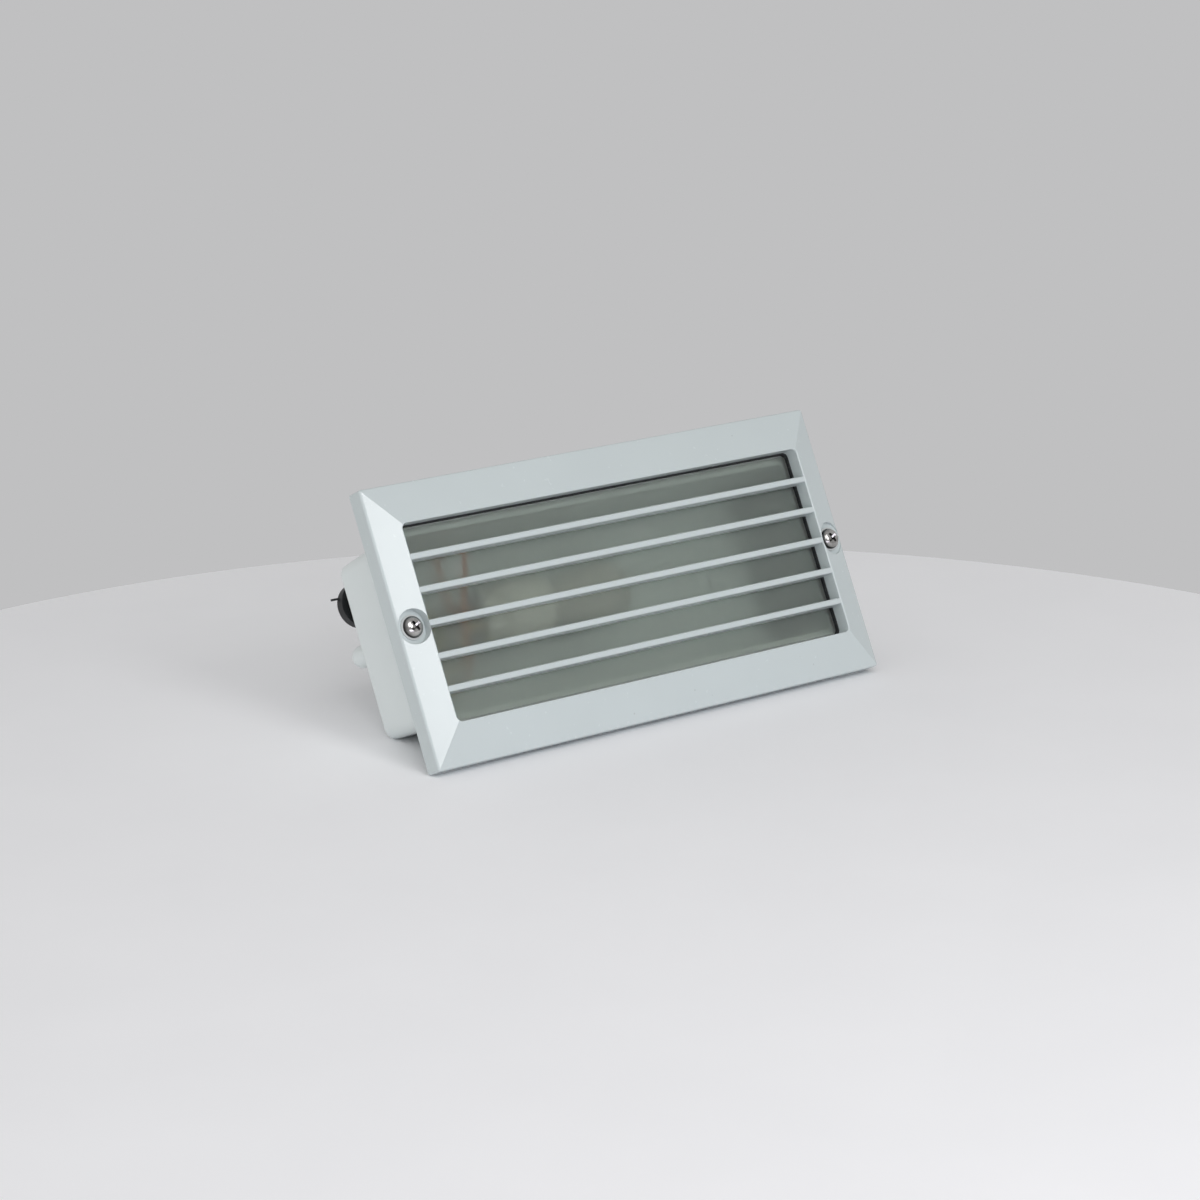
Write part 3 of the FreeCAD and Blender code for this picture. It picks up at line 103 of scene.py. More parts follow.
class StepLightScrews(bpy.types.PropertyGroup):
    """The two cover screws."""

    head_radius: length("Head radius", "Outer radius of the pan head", 4.6 * MM)
    head_height: length("Head height", "Height of the pan head", 3.1 * MM)
    shank_radius: length("Shank radius", "Radius over the thread", 2.45 * MM)
    shank_length: length("Shank length", "Length under the head", 8.0 * MM)
    pitch: length("Thread pitch", "Advance in one turn", 0.8 * MM)
    recess: length("Recess depth", "Depth of the cross recess", 1.9 * MM)


class StepLightLamp(bpy.types.PropertyGroup):
    """The lamp's threaded cap and filament."""

    thread_pitch: length("Cap thread pitch", "Advance of the rolled thread in one turn", 2.82 * MM)
    thread_depth: length("Cap thread depth", "Crest to root", 0.55 * MM)
    coil_turns: IntProperty(name="Filament turns", description="Turns of the coiled filament",
                            default=42, min=4, max=120)


class StepLightLeads(bpy.types.PropertyGroup):
    """Internal wiring."""

    live: colour("Live", "Insulation of the live lead", "#CC7840")
    neutral: colour("Neutral", "Insulation of the neutral lead", "#F6E2B2")
    earth: colour("Earth", "Main colour of the earth lead", "#3F8F2B")
    stripe: colour("Earth stripe", "Second colour of the earth lead", "#E0CC2E")


class StepLightStage(bpy.types.PropertyGroup):
    """Table, backdrop tone and lamps."""

    table_radius: length("Table radius", "Radius of the round table top", 439.7 * MM)
    table_tone: colour("Table", "Colour of the table top", "#FBFBFD")
    backdrop_tone: colour("Backdrop", "Tone behind the table", "#C0C0C1")
    fill: FloatProperty(name="Fill", description="Strength of the even light all round",
                        default=0.50, min=0.0, soft_max=2.0)
    slant: FloatVectorProperty(name="Slant", description="How the fill grows along X, Y and Z",
                               default=(-0.26, 0.10, -0.06), size=3)
    window: FloatProperty(name="Window", description="Power of the small lamp in front",
                          default=2.9, min=0.0, soft_max=50.0, unit="POWER")
    key: FloatProperty(name="Key", description="Power of the large lamp up on the left",
                       default=14.6, min=0.0, soft_max=50.0, unit="POWER")
    low: FloatProperty(name="Low", description="Power of the lamp low in front, under the bars",
                       default=2.7, min=0.0, soft_max=50.0, unit="POWER")


# ---- small tools -----------------------------------------------------------------------------


def add(tree, kind, values=None, links=None, **settings):
    """Adds one node: settings are its properties, values its sockets, links what feeds them."""
    made = tree.nodes.new(kind)
    for key, value in settings.items():
        setattr(made, key, value)
    for key, value in (values or {}).items():
        made.inputs[key].default_value = value
    for key, source in (links or {}).items():
        tree.links.new(source, made.inputs[key])
    return made


def blank_material(name):
    """A material with nothing in it but its output."""
    material = bpy.data.materials.new(name)
    material.use_nodes = True
    tree = material.node_tree
    tree.nodes.clear()
    return material, tree, add(tree, "ShaderNodeOutputMaterial")


def per_mm(size_mm):
    """Pattern scale that makes one feature of the given size, in coordinates of a metre."""
    return 1000.0 / size_mm


def rgba(colour_value, gain=1.0):
    """Linear colour with full alpha, made lighter or darker by gain."""
    return tuple(min(1.0, channel * gain) for channel in colour_value) + (1.0,)


def grid_piece(name, rows, columns, point, material, closed=True, capped=False):
    """A mesh piece from a grid of points; each row closes on itself, and the ends can be capped."""
    verts = [point(i, j) for i in range(rows) for j in range(columns)]
    faces = []
    for i in range(rows - 1):
        for j in range(columns if closed else columns - 1):
            k = (j + 1) % columns
            faces.append((i * columns + j, i * columns + k, (i + 1) * columns + k, (i + 1) * columns + j))
    if capped:
        faces.append(tuple(reversed(range(columns))))
        faces.append(tuple(range((rows - 1) * columns, rows * columns)))
    mesh = bpy.data.meshes.new(name)
    mesh.from_pydata(verts, [], faces)
    mesh.polygons.foreach_set("use_smooth", [True] * len(mesh.polygons))
    mesh.set_sharp_from_angle(angle=math.radians(38))
    mesh.materials.append(material)
    piece = bpy.data.objects.new(name, mesh)
    bpy.context.scene.collection.objects.link(piece)
    return piece


def dress(material, *nodes):
    """Gives CAD nodes their finish."""
    for node in nodes:
        mesh_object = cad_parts[node]
        if not mesh_object.material_slots:
            mesh_object.data.materials.append(material)
        for slot in mesh_object.material_slots:
            slot.material = material


# ---- materials ---------------------------------------------------------------------------------


def enamel_on_casting(name, tone, roughness, peel, painted_end_shade=0.0):
    """Stoved enamel on an aluminium die casting: satin, faintly uneven, with dust caught in it."""
    material, tree, output = blank_material(name)
    coordinates = add(tree, "ShaderNodeTexCoord")
    place = coordinates.outputs["Object"]
    # Clouds some 40 mm wide keep a large painted face from looking like one flat tint.
    clouds = add(tree, "ShaderNodeTexNoise", {"Scale": per_mm(40), "Detail": 2.0}, {"Vector": place})
    tint = add(tree, "ShaderNodeMix", {"A": rgba(tone, 0.965), "B": rgba(tone, 1.03)},
               {"Factor": clouds.outputs["Fac"]}, data_type="RGBA")
    # Sparse dust nibs about 0.5 mm across.
    nibs = add(tree, "ShaderNodeTexVoronoi", {"Scale": per_mm(8.5), "Randomness": 1.0}, {"Vector": place})
    nib = add(tree, "ShaderNodeMapRange",
              {"From Min": 0.03, "From Max": 0.055, "To Min": 1.0, "To Max": 0.0},
              {"Value": nibs.outputs["Distance"]})
    keep = add(tree, "ShaderNodeSeparateColor", links={"Color": nibs.outputs["Color"]})
    chosen = add(tree, "ShaderNodeMath", {1: 0.8}, {0: keep.outputs["Red"]}, operation="GREATER_THAN")
    speck = add(tree, "ShaderNodeMath", links={0: nib.outputs["Result"], 1: chosen.outputs[0]},
                operation="MULTIPLY")
    # Painted shade: inner walls that face back towards the middle are darkened towards grey from 60 to 88
    # mm out, where the far ends of the box lie dim.
    inward = add(tree, "ShaderNodeSeparateXYZ", links={"Vector": coordinates.outputs["Normal"]})
    across = add(tree, "ShaderNodeSeparateXYZ", links={"Vector": place})
    facing = add(tree, "ShaderNodeMath", links={0: inward.outputs["X"], 1: across.outputs["X"]},
                 operation="MULTIPLY")
    end_shade_mask = add(tree, "ShaderNodeMapRange",
               {"From Min": -60 * MM, "From Max": -88 * MM, "To Min": 0.0, "To Max": painted_end_shade},
               {"Value": facing.outputs[0]})
    end_shaded = add(tree, "ShaderNodeMix", {"B": rgba(linear("#7F8787"))},
                 {"Factor": end_shade_mask.outputs["Result"], "A": tint.outputs["Result"]}, data_type="RGBA")
    shade = add(tree, "ShaderNodeMix", {"B": rgba(tone, 0.8)},
                {"Factor": speck.outputs[0], "A": end_shaded.outputs["Result"]}, data_type="RGBA")
    # Orange peel: shallow waves 2.4 mm apart from the spray gun, over the casting's own grain.
    waves = add(tree, "ShaderNodeTexNoise", {"Scale": per_mm(2.4), "Detail": 1.5}, {"Vector": place})
    grain = add(tree, "ShaderNodeTexNoise", {"Scale": per_mm(0.8), "Detail": 2.0}, {"Vector": place})
    both = add(tree, "ShaderNodeMix", {"Factor": 0.35},
               {"A": waves.outputs["Fac"], "B": grain.outputs["Fac"]}, data_type="FLOAT")
    raised = add(tree, "ShaderNodeMath", {1: 0.35}, {0: speck.outputs[0], 2: both.outputs["Result"]},
                 operation="MULTIPLY_ADD")
    bump = add(tree, "ShaderNodeBump", {"Strength": peel, "Distance": 0.06 * MM},
               {"Height": raised.outputs[0]})
    # The sheen is a little uneven, so highlights break up softly.
    sheen = add(tree, "ShaderNodeMapRange", {"To Min": roughness - 0.03, "To Max": roughness + 0.03},
                {"Value": waves.outputs["Fac"]})
    shader = add(tree, "ShaderNodeBsdfPrincipled", {"IOR": 1.5, "Coat Weight": 0.3, "Coat Roughness": 0.17},
                 {"Base Color": shade.outputs["Result"], "Roughness": sheen.outputs["Result"],
                  "Normal": bump.outputs["Normal"]})
    tree.links.new(shader.outputs[0], output.inputs["Surface"])
    return material


def etched_glass(name, tint, roughness):
    """Float glass etched with acid: blurs what is behind it; its ground edge step shows white."""
    material, tree, output = blank_material(name)
    place = add(tree, "ShaderNodeTexCoord").outputs["Object"]
    # The etch is a stipple of pits about 0.5 mm wide, real ones being finer.
    stipple = add(tree, "ShaderNodeTexNoise", {"Scale": per_mm(0.5), "Detail": 2.0}, {"Vector": place})
    drift = add(tree, "ShaderNodeTexNoise", {"Scale": per_mm(25), "Detail": 2.0}, {"Vector": place})
    etched = add(tree, "ShaderNodeMapRange", {"To Min": roughness - 0.008, "To Max": roughness + 0.012},
                 {"Value": drift.outputs["Fac"]})
    # Only the front is etched: the back, one millimetre short of the wall's face, is left polished.
    depth = add(tree, "ShaderNodeSeparateXYZ", links={"Vector": place})
    front = add(tree, "ShaderNodeMath", {1: -2 * MM}, {0: depth.outputs["Y"]}, operation="LESS_THAN")
    rough = add(tree, "ShaderNodeMath", {2: 0.02}, {0: etched.outputs["Result"], 1: front.outputs[0]},
                operation="MULTIPLY_ADD")
    # The ground step faces forward and outward at once, so its slope picks it out.
    slope = add(tree, "ShaderNodeNewGeometry")
    parts = add(tree, "ShaderNodeSeparateXYZ", links={"Vector": slope.outputs["True Normal"]})
    tilt = add(tree, "ShaderNodeMath", links={0: parts.outputs["Y"]}, operation="ABSOLUTE")
    ground = add(tree, "ShaderNodeMath", {1: 0.71, 2: 0.12}, {0: tilt.outputs[0]}, operation="COMPARE")
    clear = add(tree, "ShaderNodeMapRange", {"To Min": 0.94, "To Max": 0.25}, {"Value": ground.outputs[0]})
    shade = add(tree, "ShaderNodeMix", {"A": rgba(tint), "B": (0.72, 0.76, 0.74, 1.0)},
                {"Factor": ground.outputs[0]}, data_type="RGBA")
    bump = add(tree, "ShaderNodeBump", {"Strength": 0.25, "Distance": 0.05 * MM},
               {"Height": stipple.outputs["Fac"]})
    shader = add(tree, "ShaderNodeBsdfPrincipled", {"IOR": 1.52},
                 {"Base Color": shade.outputs["Result"], "Roughness": rough.outputs[0],
                  "Transmission Weight": clear.outputs["Result"], "Normal": bump.outputs["Normal"]})
    tree.links.new(shader.outputs[0], output.inputs["Surface"])
    return material


def blown_glass(name, tint, roughness, milk):
    """Blown soda-lime glass: slow ripples from the mould, clear or satin-etched on the inside."""
    material, tree, output = blank_material(name)
    place = add(tree, "ShaderNodeTexCoord").outputs["Object"]
    ripple = add(tree, "ShaderNodeTexNoise", {"Scale": per_mm(9), "Detail": 1.0}, {"Vector": place})
    bump = add(tree, "ShaderNodeBump", {"Strength": 0.12, "Distance": 0.08 * MM},
               {"Height": ripple.outputs["Fac"]})
    satin = add(tree, "ShaderNodeMapRange", {"To Min": roughness, "To Max": roughness + 0.05},
                {"Value": ripple.outputs["Fac"]})
    shader = add(tree, "ShaderNodeBsdfPrincipled",
                 {"Base Color": rgba(linear(tint)), "IOR": 1.5, "Transmission Weight": 1.0 - milk},
                 {"Roughness": satin.outputs["Result"], "Normal": bump.outputs["Normal"]})
    tree.links.new(shader.outputs[0], output.inputs["Surface"])
    return material


def moulded_rubber(name, tone, roughness):
    """Moulded EPDM: near black, matt, dulled by a bloom of fine pale dust."""
    material, tree, output = blank_material(name)
    place = add(tree, "ShaderNodeTexCoord").outputs["Object"]
    bloom = add(tree, "ShaderNodeTexNoise", {"Scale": per_mm(5), "Detail": 5.0, "Roughness": 0.7},
                {"Vector": place})
    lift = add(tree, "ShaderNodeMapRange", {"From Min": 0.45, "From Max": 0.8, "To Max": 0.5},
               {"Value": bloom.outputs["Fac"]})
    shade = add(tree, "ShaderNodeMix", {"A": rgba(tone), "B": rgba(linear("#3C3E40"))},
                {"Factor": lift.outputs["Result"]}, data_type="RGBA")
    skin = add(tree, "ShaderNodeTexNoise", {"Scale": per_mm(0.5), "Detail": 2.0}, {"Vector": place})
    bump = add(tree, "ShaderNodeBump", {"Strength": 0.3, "Distance": 0.05 * MM},
               {"Height": skin.outputs["Fac"]})
    worn = add(tree, "ShaderNodeMapRange", {"To Min": roughness - 0.08, "To Max": roughness + 0.1},
               {"Value": bloom.outputs["Fac"]})
    shader = add(tree, "ShaderNodeBsdfPrincipled", {"IOR": 1.52},
                 {"Base Color": shade.outputs["Result"], "Roughness": worn.outputs["Result"],
                  "Normal": bump.outputs["Normal"]})
    tree.links.new(shader.outputs[0], output.inputs["Surface"])
    return material


def worked_metal(name, code, roughness, grain_mm, stretch, patina=None, painted_rim_shade=0.0):
    """Bare or plated metal whose fine tool lines run along one axis and stretch the highlights."""
    material, tree, output = blank_material(name)
    coordinates = add(tree, "ShaderNodeTexCoord")
    place = coordinates.outputs["Object"]
    lines = add(tree, "ShaderNodeMapping", {"Scale": stretch}, {"Vector": place})
    grain = add(tree, "ShaderNodeTexNoise", {"Scale": per_mm(grain_mm), "Detail": 3.0},
                {"Vector": lines.outputs["Vector"]})
    bloom = add(tree, "ShaderNodeTexNoise", {"Scale": per_mm(4), "Detail": 3.0}, {"Vector": place})
    stained = add(tree, "ShaderNodeMapRange", {"From Min": 0.42, "From Max": 0.75, "To Max": 0.7},
                  {"Value": bloom.outputs["Fac"]})
    shade = add(tree, "ShaderNodeMix", {"A": rgba(linear(code)),
                                        "B": rgba(linear(patina)) if patina else rgba(linear(code), 0.86)},
                {"Factor": stained.outputs["Result"]}, data_type="RGBA")
    # Painted shade: the steep sides of a head and the walls of its recess are darkened, standing in for the
    # dark surroundings that they reflect.
    facing = add(tree, "ShaderNodeSeparateXYZ", links={"Vector": coordinates.outputs["Normal"]})
    level = add(tree, "ShaderNodeMath", links={0: facing.outputs["Y"]}, operation="ABSOLUTE")
    steep = add(tree, "ShaderNodeMapRange",
                {"From Min": 0.78, "From Max": 0.4, "To Min": 0.0, "To Max": painted_rim_shade},
                {"Value": level.outputs[0]})
    rim_shaded = add(tree, "ShaderNodeMix", {"B": rgba(linear("#262523"))},
                {"Factor": steep.outputs["Result"], "A": shade.outputs["Result"]}, data_type="RGBA")
    polish = add(tree, "ShaderNodeMapRange", {"To Min": roughness - 0.06, "To Max": roughness + 0.1},
                 {"Value": grain.outputs["Fac"]})
    bump = add(tree, "ShaderNodeBump", {"Strength": 0.15, "Distance": 0.02 * MM},
               {"Height": grain.outputs["Fac"]})
    shader = add(tree, "ShaderNodeBsdfPrincipled", {"Metallic": 1.0},
                 {"Base Color": rim_shaded.outputs["Result"], "Roughness": polish.outputs["Result"],
                  "Normal": bump.outputs["Normal"]})
    tree.links.new(shader.outputs[0], output.inputs["Surface"])
    return material


def glazed_porcelain(name, code):
    """Steatite under a clear glaze: hard white gloss with a few iron specks."""
    material, tree, output = blank_material(name)
    place = add(tree, "ShaderNodeTexCoord").outputs["Object"]
    body = add(tree, "ShaderNodeTexNoise", {"Scale": per_mm(12), "Detail": 3.0}, {"Vector": place})
    tint = add(tree, "ShaderNodeMix", {"A": rgba(linear(code), 0.95), "B": rgba(linear(code), 1.03)},
               {"Factor": body.outputs["Fac"]}, data_type="RGBA")
    iron = add(tree, "ShaderNodeTexVoronoi", {"Scale": per_mm(6)}, {"Vector": place})
    speck = add(tree, "ShaderNodeMapRange",
                {"From Min": 0.02, "From Max": 0.045, "To Min": 0.6, "To Max": 0.0},
                {"Value": iron.outputs["Distance"]})
    shade = add(tree, "ShaderNodeMix", {"B": rgba(linear("#8A7A62"))},
                {"Factor": speck.outputs["Result"], "A": tint.outputs["Result"]}, data_type="RGBA")
    swell = add(tree, "ShaderNodeTexNoise", {"Scale": per_mm(3.5)}, {"Vector": place})
    bump = add(tree, "ShaderNodeBump", {"Strength": 0.12, "Distance": 0.06 * MM},
               {"Height": swell.outputs["Fac"]})
    shader = add(tree, "ShaderNodeBsdfPrincipled",
                 {"Roughness": 0.16, "IOR": 1.52, "Coat Weight": 0.5, "Coat Roughness": 0.05},
                 {"Base Color": shade.outputs["Result"], "Normal": bump.outputs["Normal"]})
    tree.links.new(shader.outputs[0], output.inputs["Surface"])
    return material


def moulded_plastic(name, tone, roughness, grain_mm):
    """Injection-moulded plastic: soft gloss over a spark-eroded grain."""
    material, tree, output = blank_material(name)
    place = add(tree, "ShaderNodeTexCoord").outputs["Object"]
    flow = add(tree, "ShaderNodeTexNoise", {"Scale": per_mm(7), "Detail": 2.0, "Distortion": 0.6},
               {"Vector": place})
    tint = add(tree, "ShaderNodeMix", {"A": rgba(tone, 0.93), "B": rgba(tone, 1.05)},
               {"Factor": flow.outputs["Fac"]}, data_type="RGBA")
    grain = add(tree, "ShaderNodeTexNoise", {"Scale": per_mm(grain_mm), "Detail": 2.0}, {"Vector": place})
    bump = add(tree, "ShaderNodeBump", {"Strength": 0.2, "Distance": 0.03 * MM},
               {"Height": grain.outputs["Fac"]})
    gloss = add(tree, "ShaderNodeMapRange", {"To Min": roughness - 0.05, "To Max": roughness + 0.07},
                {"Value": grain.outputs["Fac"]})
    shader = add(tree, "ShaderNodeBsdfPrincipled", {"IOR": 1.5},
                 {"Base Color": tint.outputs["Result"], "Roughness": gloss.outputs["Result"],
                  "Normal": bump.outputs["Normal"]})
    tree.links.new(shader.outputs[0], output.inputs["Surface"])
    return material


def striped_insulation(name, tone, stripe):
    """Extruded PVC in two colours, split along the lead's own length."""
    material, tree, output = blank_material(name)
    coordinates = add(tree, "ShaderNodeTexCoord")
    # The second colour lies on one side of the lead all the way along it.
    side = add(tree, "ShaderNodeVectorMath", {1: (0.35, -0.75, 0.56)}, {0: coordinates.outputs["Normal"]},
               operation="DOT_PRODUCT")
    band = add(tree, "ShaderNodeMapRange", {"From Min": 0.28, "From Max": 0.36},
               {"Value": side.outputs["Value"]})
    scuffs = add(tree, "ShaderNodeTexNoise", {"Scale": per_mm(1.5), "Detail": 3.0},
                 {"Vector": coordinates.outputs["Object"]})
    shade = add(tree, "ShaderNodeMix", {"A": rgba(tone), "B": rgba(stripe)},
                {"Factor": band.outputs["Result"]}, data_type="RGBA")
    gloss = add(tree, "ShaderNodeMapRange", {"To Min": 0.32, "To Max": 0.5},
                {"Value": scuffs.outputs["Fac"]})
    bump = add(tree, "ShaderNodeBump", {"Strength": 0.15, "Distance": 0.03 * MM},
               {"Height": scuffs.outputs["Fac"]})
    shader = add(tree, "ShaderNodeBsdfPrincipled", {"IOR": 1.53},
                 {"Base Color": shade.outputs["Result"], "Roughness": gloss.outputs["Result"],
                  "Normal": bump.outputs["Normal"]})
    tree.links.new(shader.outputs[0], output.inputs["Surface"])
    return material


# ---- painted castings, glass and rubber --------------------------------------------------------


class STEPLIGHT_OT_castings(bpy.types.Operator):
    """Paints the louvred cover and the wall box"""

    bl_idname = "steplight.castings"
    bl_label = "Paint the castings"

    def execute(self, context):
        finish = context.scene.step_light_finish
        cover = enamel_on_casting("Stoved enamel, cover", finish.cover_paint, finish.paint_roughness, 0.05)
        # The last value darkens the box's inner end walls towards grey as painted shade.
        box = enamel_on_casting("Stoved enamel, wall box", finish.housing_paint,
                                min(1.0, finish.paint_roughness + 0.10), 0.12, 0.75)
        dress(cover, "cover")
        dress(box, "housing")
        return {"FINISHED"}


class STEPLIGHT_OT_glazing(bpy.types.Operator):
    """Fits the etched pane and the black rubber round it"""

    bl_idname = "steplight.glazing"
    bl_label = "Glaze and seal"

    def execute(self, context):
        finish = context.scene.step_light_finish
        dress(etched_glass("Acid-etched glass", finish.glass_tint, finish.glass_roughness), "glass_pane")
        dress(moulded_rubber("EPDM gasket", finish.rubber, 0.62), "glass_gasket", "body_gasket")
        dress(moulded_rubber("EPDM grommet", finish.rubber, 0.48), "cable_grommet")
        return {"FINISHED"}


# ---- cover screws -------------------------------------------------------------------------------


CROSS_TURN = math.radians(28)
CROSS_ARM = 2.45 * MM
CROSS_HALF_WIDTH = 0.62 * MM
CROSS_CORE = 1.15 * MM
CROSS_ARM_CURVE = 1.6      # how the floor of an arm rises to its end
CROSS_WALL_SLOPE = 7.0
CROSS_CORE_SLOPE = 5.0
HEAD_SIDE = 0.45 * MM      # straight side under the dome


def cross_recess(across, up, sizes):
    """Depth of a tapered cross recess at a point of the head."""
    a = across * math.cos(CROSS_TURN) + up * math.sin(CROSS_TURN)
    b = up * math.cos(CROSS_TURN) - across * math.sin(CROSS_TURN)
    depth = 0.0
    for along, aside in ((abs(a), abs(b)), (abs(b), abs(a))):
        floor = 0.0
        if along < CROSS_ARM:
            floor = sizes.recess * (1.0 - (along / CROSS_ARM) ** CROSS_ARM_CURVE)
        wall = (CROSS_HALF_WIDTH - aside) * CROSS_WALL_SLOPE
        depth = max(depth, min(floor, wall))
    core = CROSS_CORE - math.hypot(a, b)
    return max(depth, min(sizes.recess, core * CROSS_CORE_SLOPE))


def head_profile(radius, sizes):
    """Height of the pan head over its underside at a radius from its axis."""
    swell = radius / sizes.head_radius
    return HEAD_SIDE + (sizes.head_height - HEAD_SIDE) * max(0.0, 1.0 - swell ** 2.6) ** 0.62


def make_cover_screw(name, node, body, steel):
    """Pan-head screw with a cross recess and a real thread, in place of its plain CAD node."""
    sizes = bpy.context.scene.step_light_screws
    low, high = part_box(node)
    x = (low[0] + high[0]) / 2
    z = (low[2] + high[2]) / 2
    under = high[1] - sizes.shank_length
    columns = 168
    top_rings = 46
    shank_steps = 150

    def point(i, j):
        angle = 2 * math.pi * j / columns
        across, up = math.cos(angle), math.sin(angle)
        if i < top_rings:
            radius = max(0.00002, sizes.head_radius * (i / (top_rings - 1)) ** 0.85)
            height = head_profile(radius, sizes) - cross_recess(radius * across, radius * up, sizes)
            return x + radius * across, under - height, z + radius * up
        if i == top_rings:
            return x + sizes.head_radius * across, under, z + sizes.head_radius * up
        step = (i - top_rings - 1) / (shank_steps - 1)
        down = sizes.shank_length * step
        phase = (down / sizes.pitch - angle / (2 * math.pi)) % 1.0
        tooth = abs(phase - 0.5) * 2.0
        ends = min(1.0, down / (1.2 * MM), (sizes.shank_length - down) / (0.8 * MM))
        root = 0.46 * MM * ends * tooth
        point_in = 0.45 * MM * max(0.0, 1.0 - (sizes.shank_length - down) / (0.6 * MM))
        radius = sizes.shank_radius - max(root, point_in)
        return x + radius * across, under + down, z + radius * up

    screw = grid_piece(name, top_rings + 1 + shank_steps, columns, point, steel, capped=True)
    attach(screw, body)
    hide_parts(node)
    return screw


class STEPLIGHT_OT_cover_screws(bpy.types.Operator):
    """Makes the two stainless screws that clamp the cover and finishes their washers"""

    bl_idname = "steplight.cover_screws"
    bl_label = "Make the cover screws"

    def execute(self, context):
        # Cold-headed A2 steel: bright, with faint rings from the die, so each lamp shows in it.
        # The last value darkens the steep sides of each head as painted shade.
        steel = worked_metal("Cold-headed stainless steel", "#C2C1BF", 0.15, 0.4, (1.0, 0.3, 1.0),
                             "#6B6964", 0.9)
        dress(moulded_plastic("Natural nylon", linear("#C9CDCC"), 0.38, 0.6), "screw_washer_left",
              "screw_washer_right")
        make_cover_screw("screw_left", "cover_screw_left", "screw_left_body", steel)
        make_cover_screw("screw_right", "cover_screw_right", "screw_right_body", steel)
        return {"FINISHED"}


# ---- lampholder and lamp ------------------------------------------------------------------------


class STEPLIGHT_OT_lampholder(bpy.types.Operator):
    """Finishes the porcelain holder, its contacts, bracket and screws"""

    bl_idname = "steplight.lampholder"
    bl_label = "Finish the lampholder"

    def execute(self, context):
        dress(glazed_porcelain("Glazed porcelain", "#F1F0E8"), "lampholder_body")
        # Thin nickel lets the brass through: warm grey, softly polished by drawing.
        dress(worked_metal("Nickelled brass", "#C9BFA2", 0.26, 0.3, (0.1, 1.0, 1.0)), "lampholder_shell")
        # Phosphor bronze strip, rolled: orange-brown with lengthwise lines.
        dress(worked_metal("Rolled phosphor bronze", "#B9813F", 0.3, 0.25, (1.0, 1.0, 0.1), "#8C5A2B"),
              "lampholder_centre_contact")
        # Bright zinc on steel: bluish, with a cloudy yellow bloom.
        zinc = worked_metal("Bright zinc plate", "#C4C8CC", 0.3, 0.3, (1.0, 1.0, 0.25), "#B9B493")
        dress(zinc, "holder_bracket", "bracket_screws", "holder_screws", "terminal_clamp_screws",
              "terminal_block_screw", "earth_washer")
        return {"FINISHED"}


THREAD_START = 1.0 * MM    # plain run before the cap's thread
THREAD_STOP = 3.0 * MM     # plain run after it
THREAD_FADE = 1.5 * MM     # the thread grows and dies over this run
CAP_WALL = 0.35 * MM


def make_lamp_cap(metal):
    """Rolled-thread cap in place of its plain CAD sleeve."""
    sizes = bpy.context.scene.step_light_lamp
    low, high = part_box("lamp_cap")
    y = (low[1] + high[1]) / 2
    z = (low[2] + high[2]) / 2
    outer = (high[2] - low[2]) / 2
    run = high[0] - low[0]
    columns = 96
    rows_out = 150

    def thread(along, angle):
        fade = min(1.0, max(0.0, along - THREAD_START) / THREAD_FADE,
                   max(0.0, run - THREAD_STOP - along) / THREAD_FADE)
        wave = 0.5 - 0.5 * math.cos(2 * math.pi * (along / sizes.thread_pitch - angle / (2 * math.pi)))
        return outer - sizes.thread_depth * wave * fade

    def point(i, j):
        angle = 2 * math.pi * j / columns
        if i == 0:
            along, radius = 0.0, outer - 1.9 * MM
        elif i <= rows_out:
            along = run * (i - 1) / (rows_out - 1)
            rounding = 0.7 * MM * max(0.0, 1.0 - along / (0.8 * MM)) ** 2
            radius = thread(along, angle) - rounding
        else:
            back = (i - rows_out - 1) / 24
            along = run - (run - 0.5 * MM) * back
            radius = outer - sizes.thread_depth - CAP_WALL
        return low[0] + along, y + radius * math.cos(angle), z + radius * math.sin(angle)

    cap = grid_piece("lamp_screw_cap", rows_out + 26, columns, point, metal)
    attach(cap, "lamp_body")
    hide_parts("lamp_cap")


def make_filament(wire):
    """Coiled filament bowed between the support wires."""
    sizes = bpy.context.scene.step_light_lamp
    low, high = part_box("lamp_filament")
    y = (low[1] + high[1]) / 2
    reach = (high[2] - low[2]) / 2 - 0.3 * MM
    middle = (low[2] + high[2]) / 2
    bow = high[0] - low[0] - 0.6 * MM
    start = low[0] + 0.3 * MM
    per_turn = 12
    total = sizes.coil_turns * per_turn
    columns = 5

    def spine(share_along):
        z = middle + reach * (1.0 - 2.0 * share_along)
        x = start + bow * (1.0 - (2.0 * share_along - 1.0) ** 2)
        return Vector((x, y, z))

    def centre(i):
        share_along = i / total
        angle = 2 * math.pi * i / per_turn
        here = spine(share_along)
        way = (spine(min(1.0, share_along + 0.01)) - spine(max(0.0, share_along - 0.01))).normalized()
        side = Vector((0, 1, 0))
        other = way.cross(side)
        return here + (side * math.cos(angle) + other * math.sin(angle)) * 0.24 * MM

    def point(i, j):
        angle = 2 * math.pi * j / columns
        here = centre(i)
        way = (centre(min(total, i + 1)) - centre(max(0, i - 1))).normalized()
        side = way.cross(Vector((1, 0.2, 0))).normalized()
        other = way.cross(side)
        return here + (side * math.cos(angle) + other * math.sin(angle)) * 0.05 * MM

    coil = grid_piece("lamp_coil", total + 1, columns, point, wire, capped=True)
    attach(coil, "lamp_body")
    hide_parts("lamp_filament")


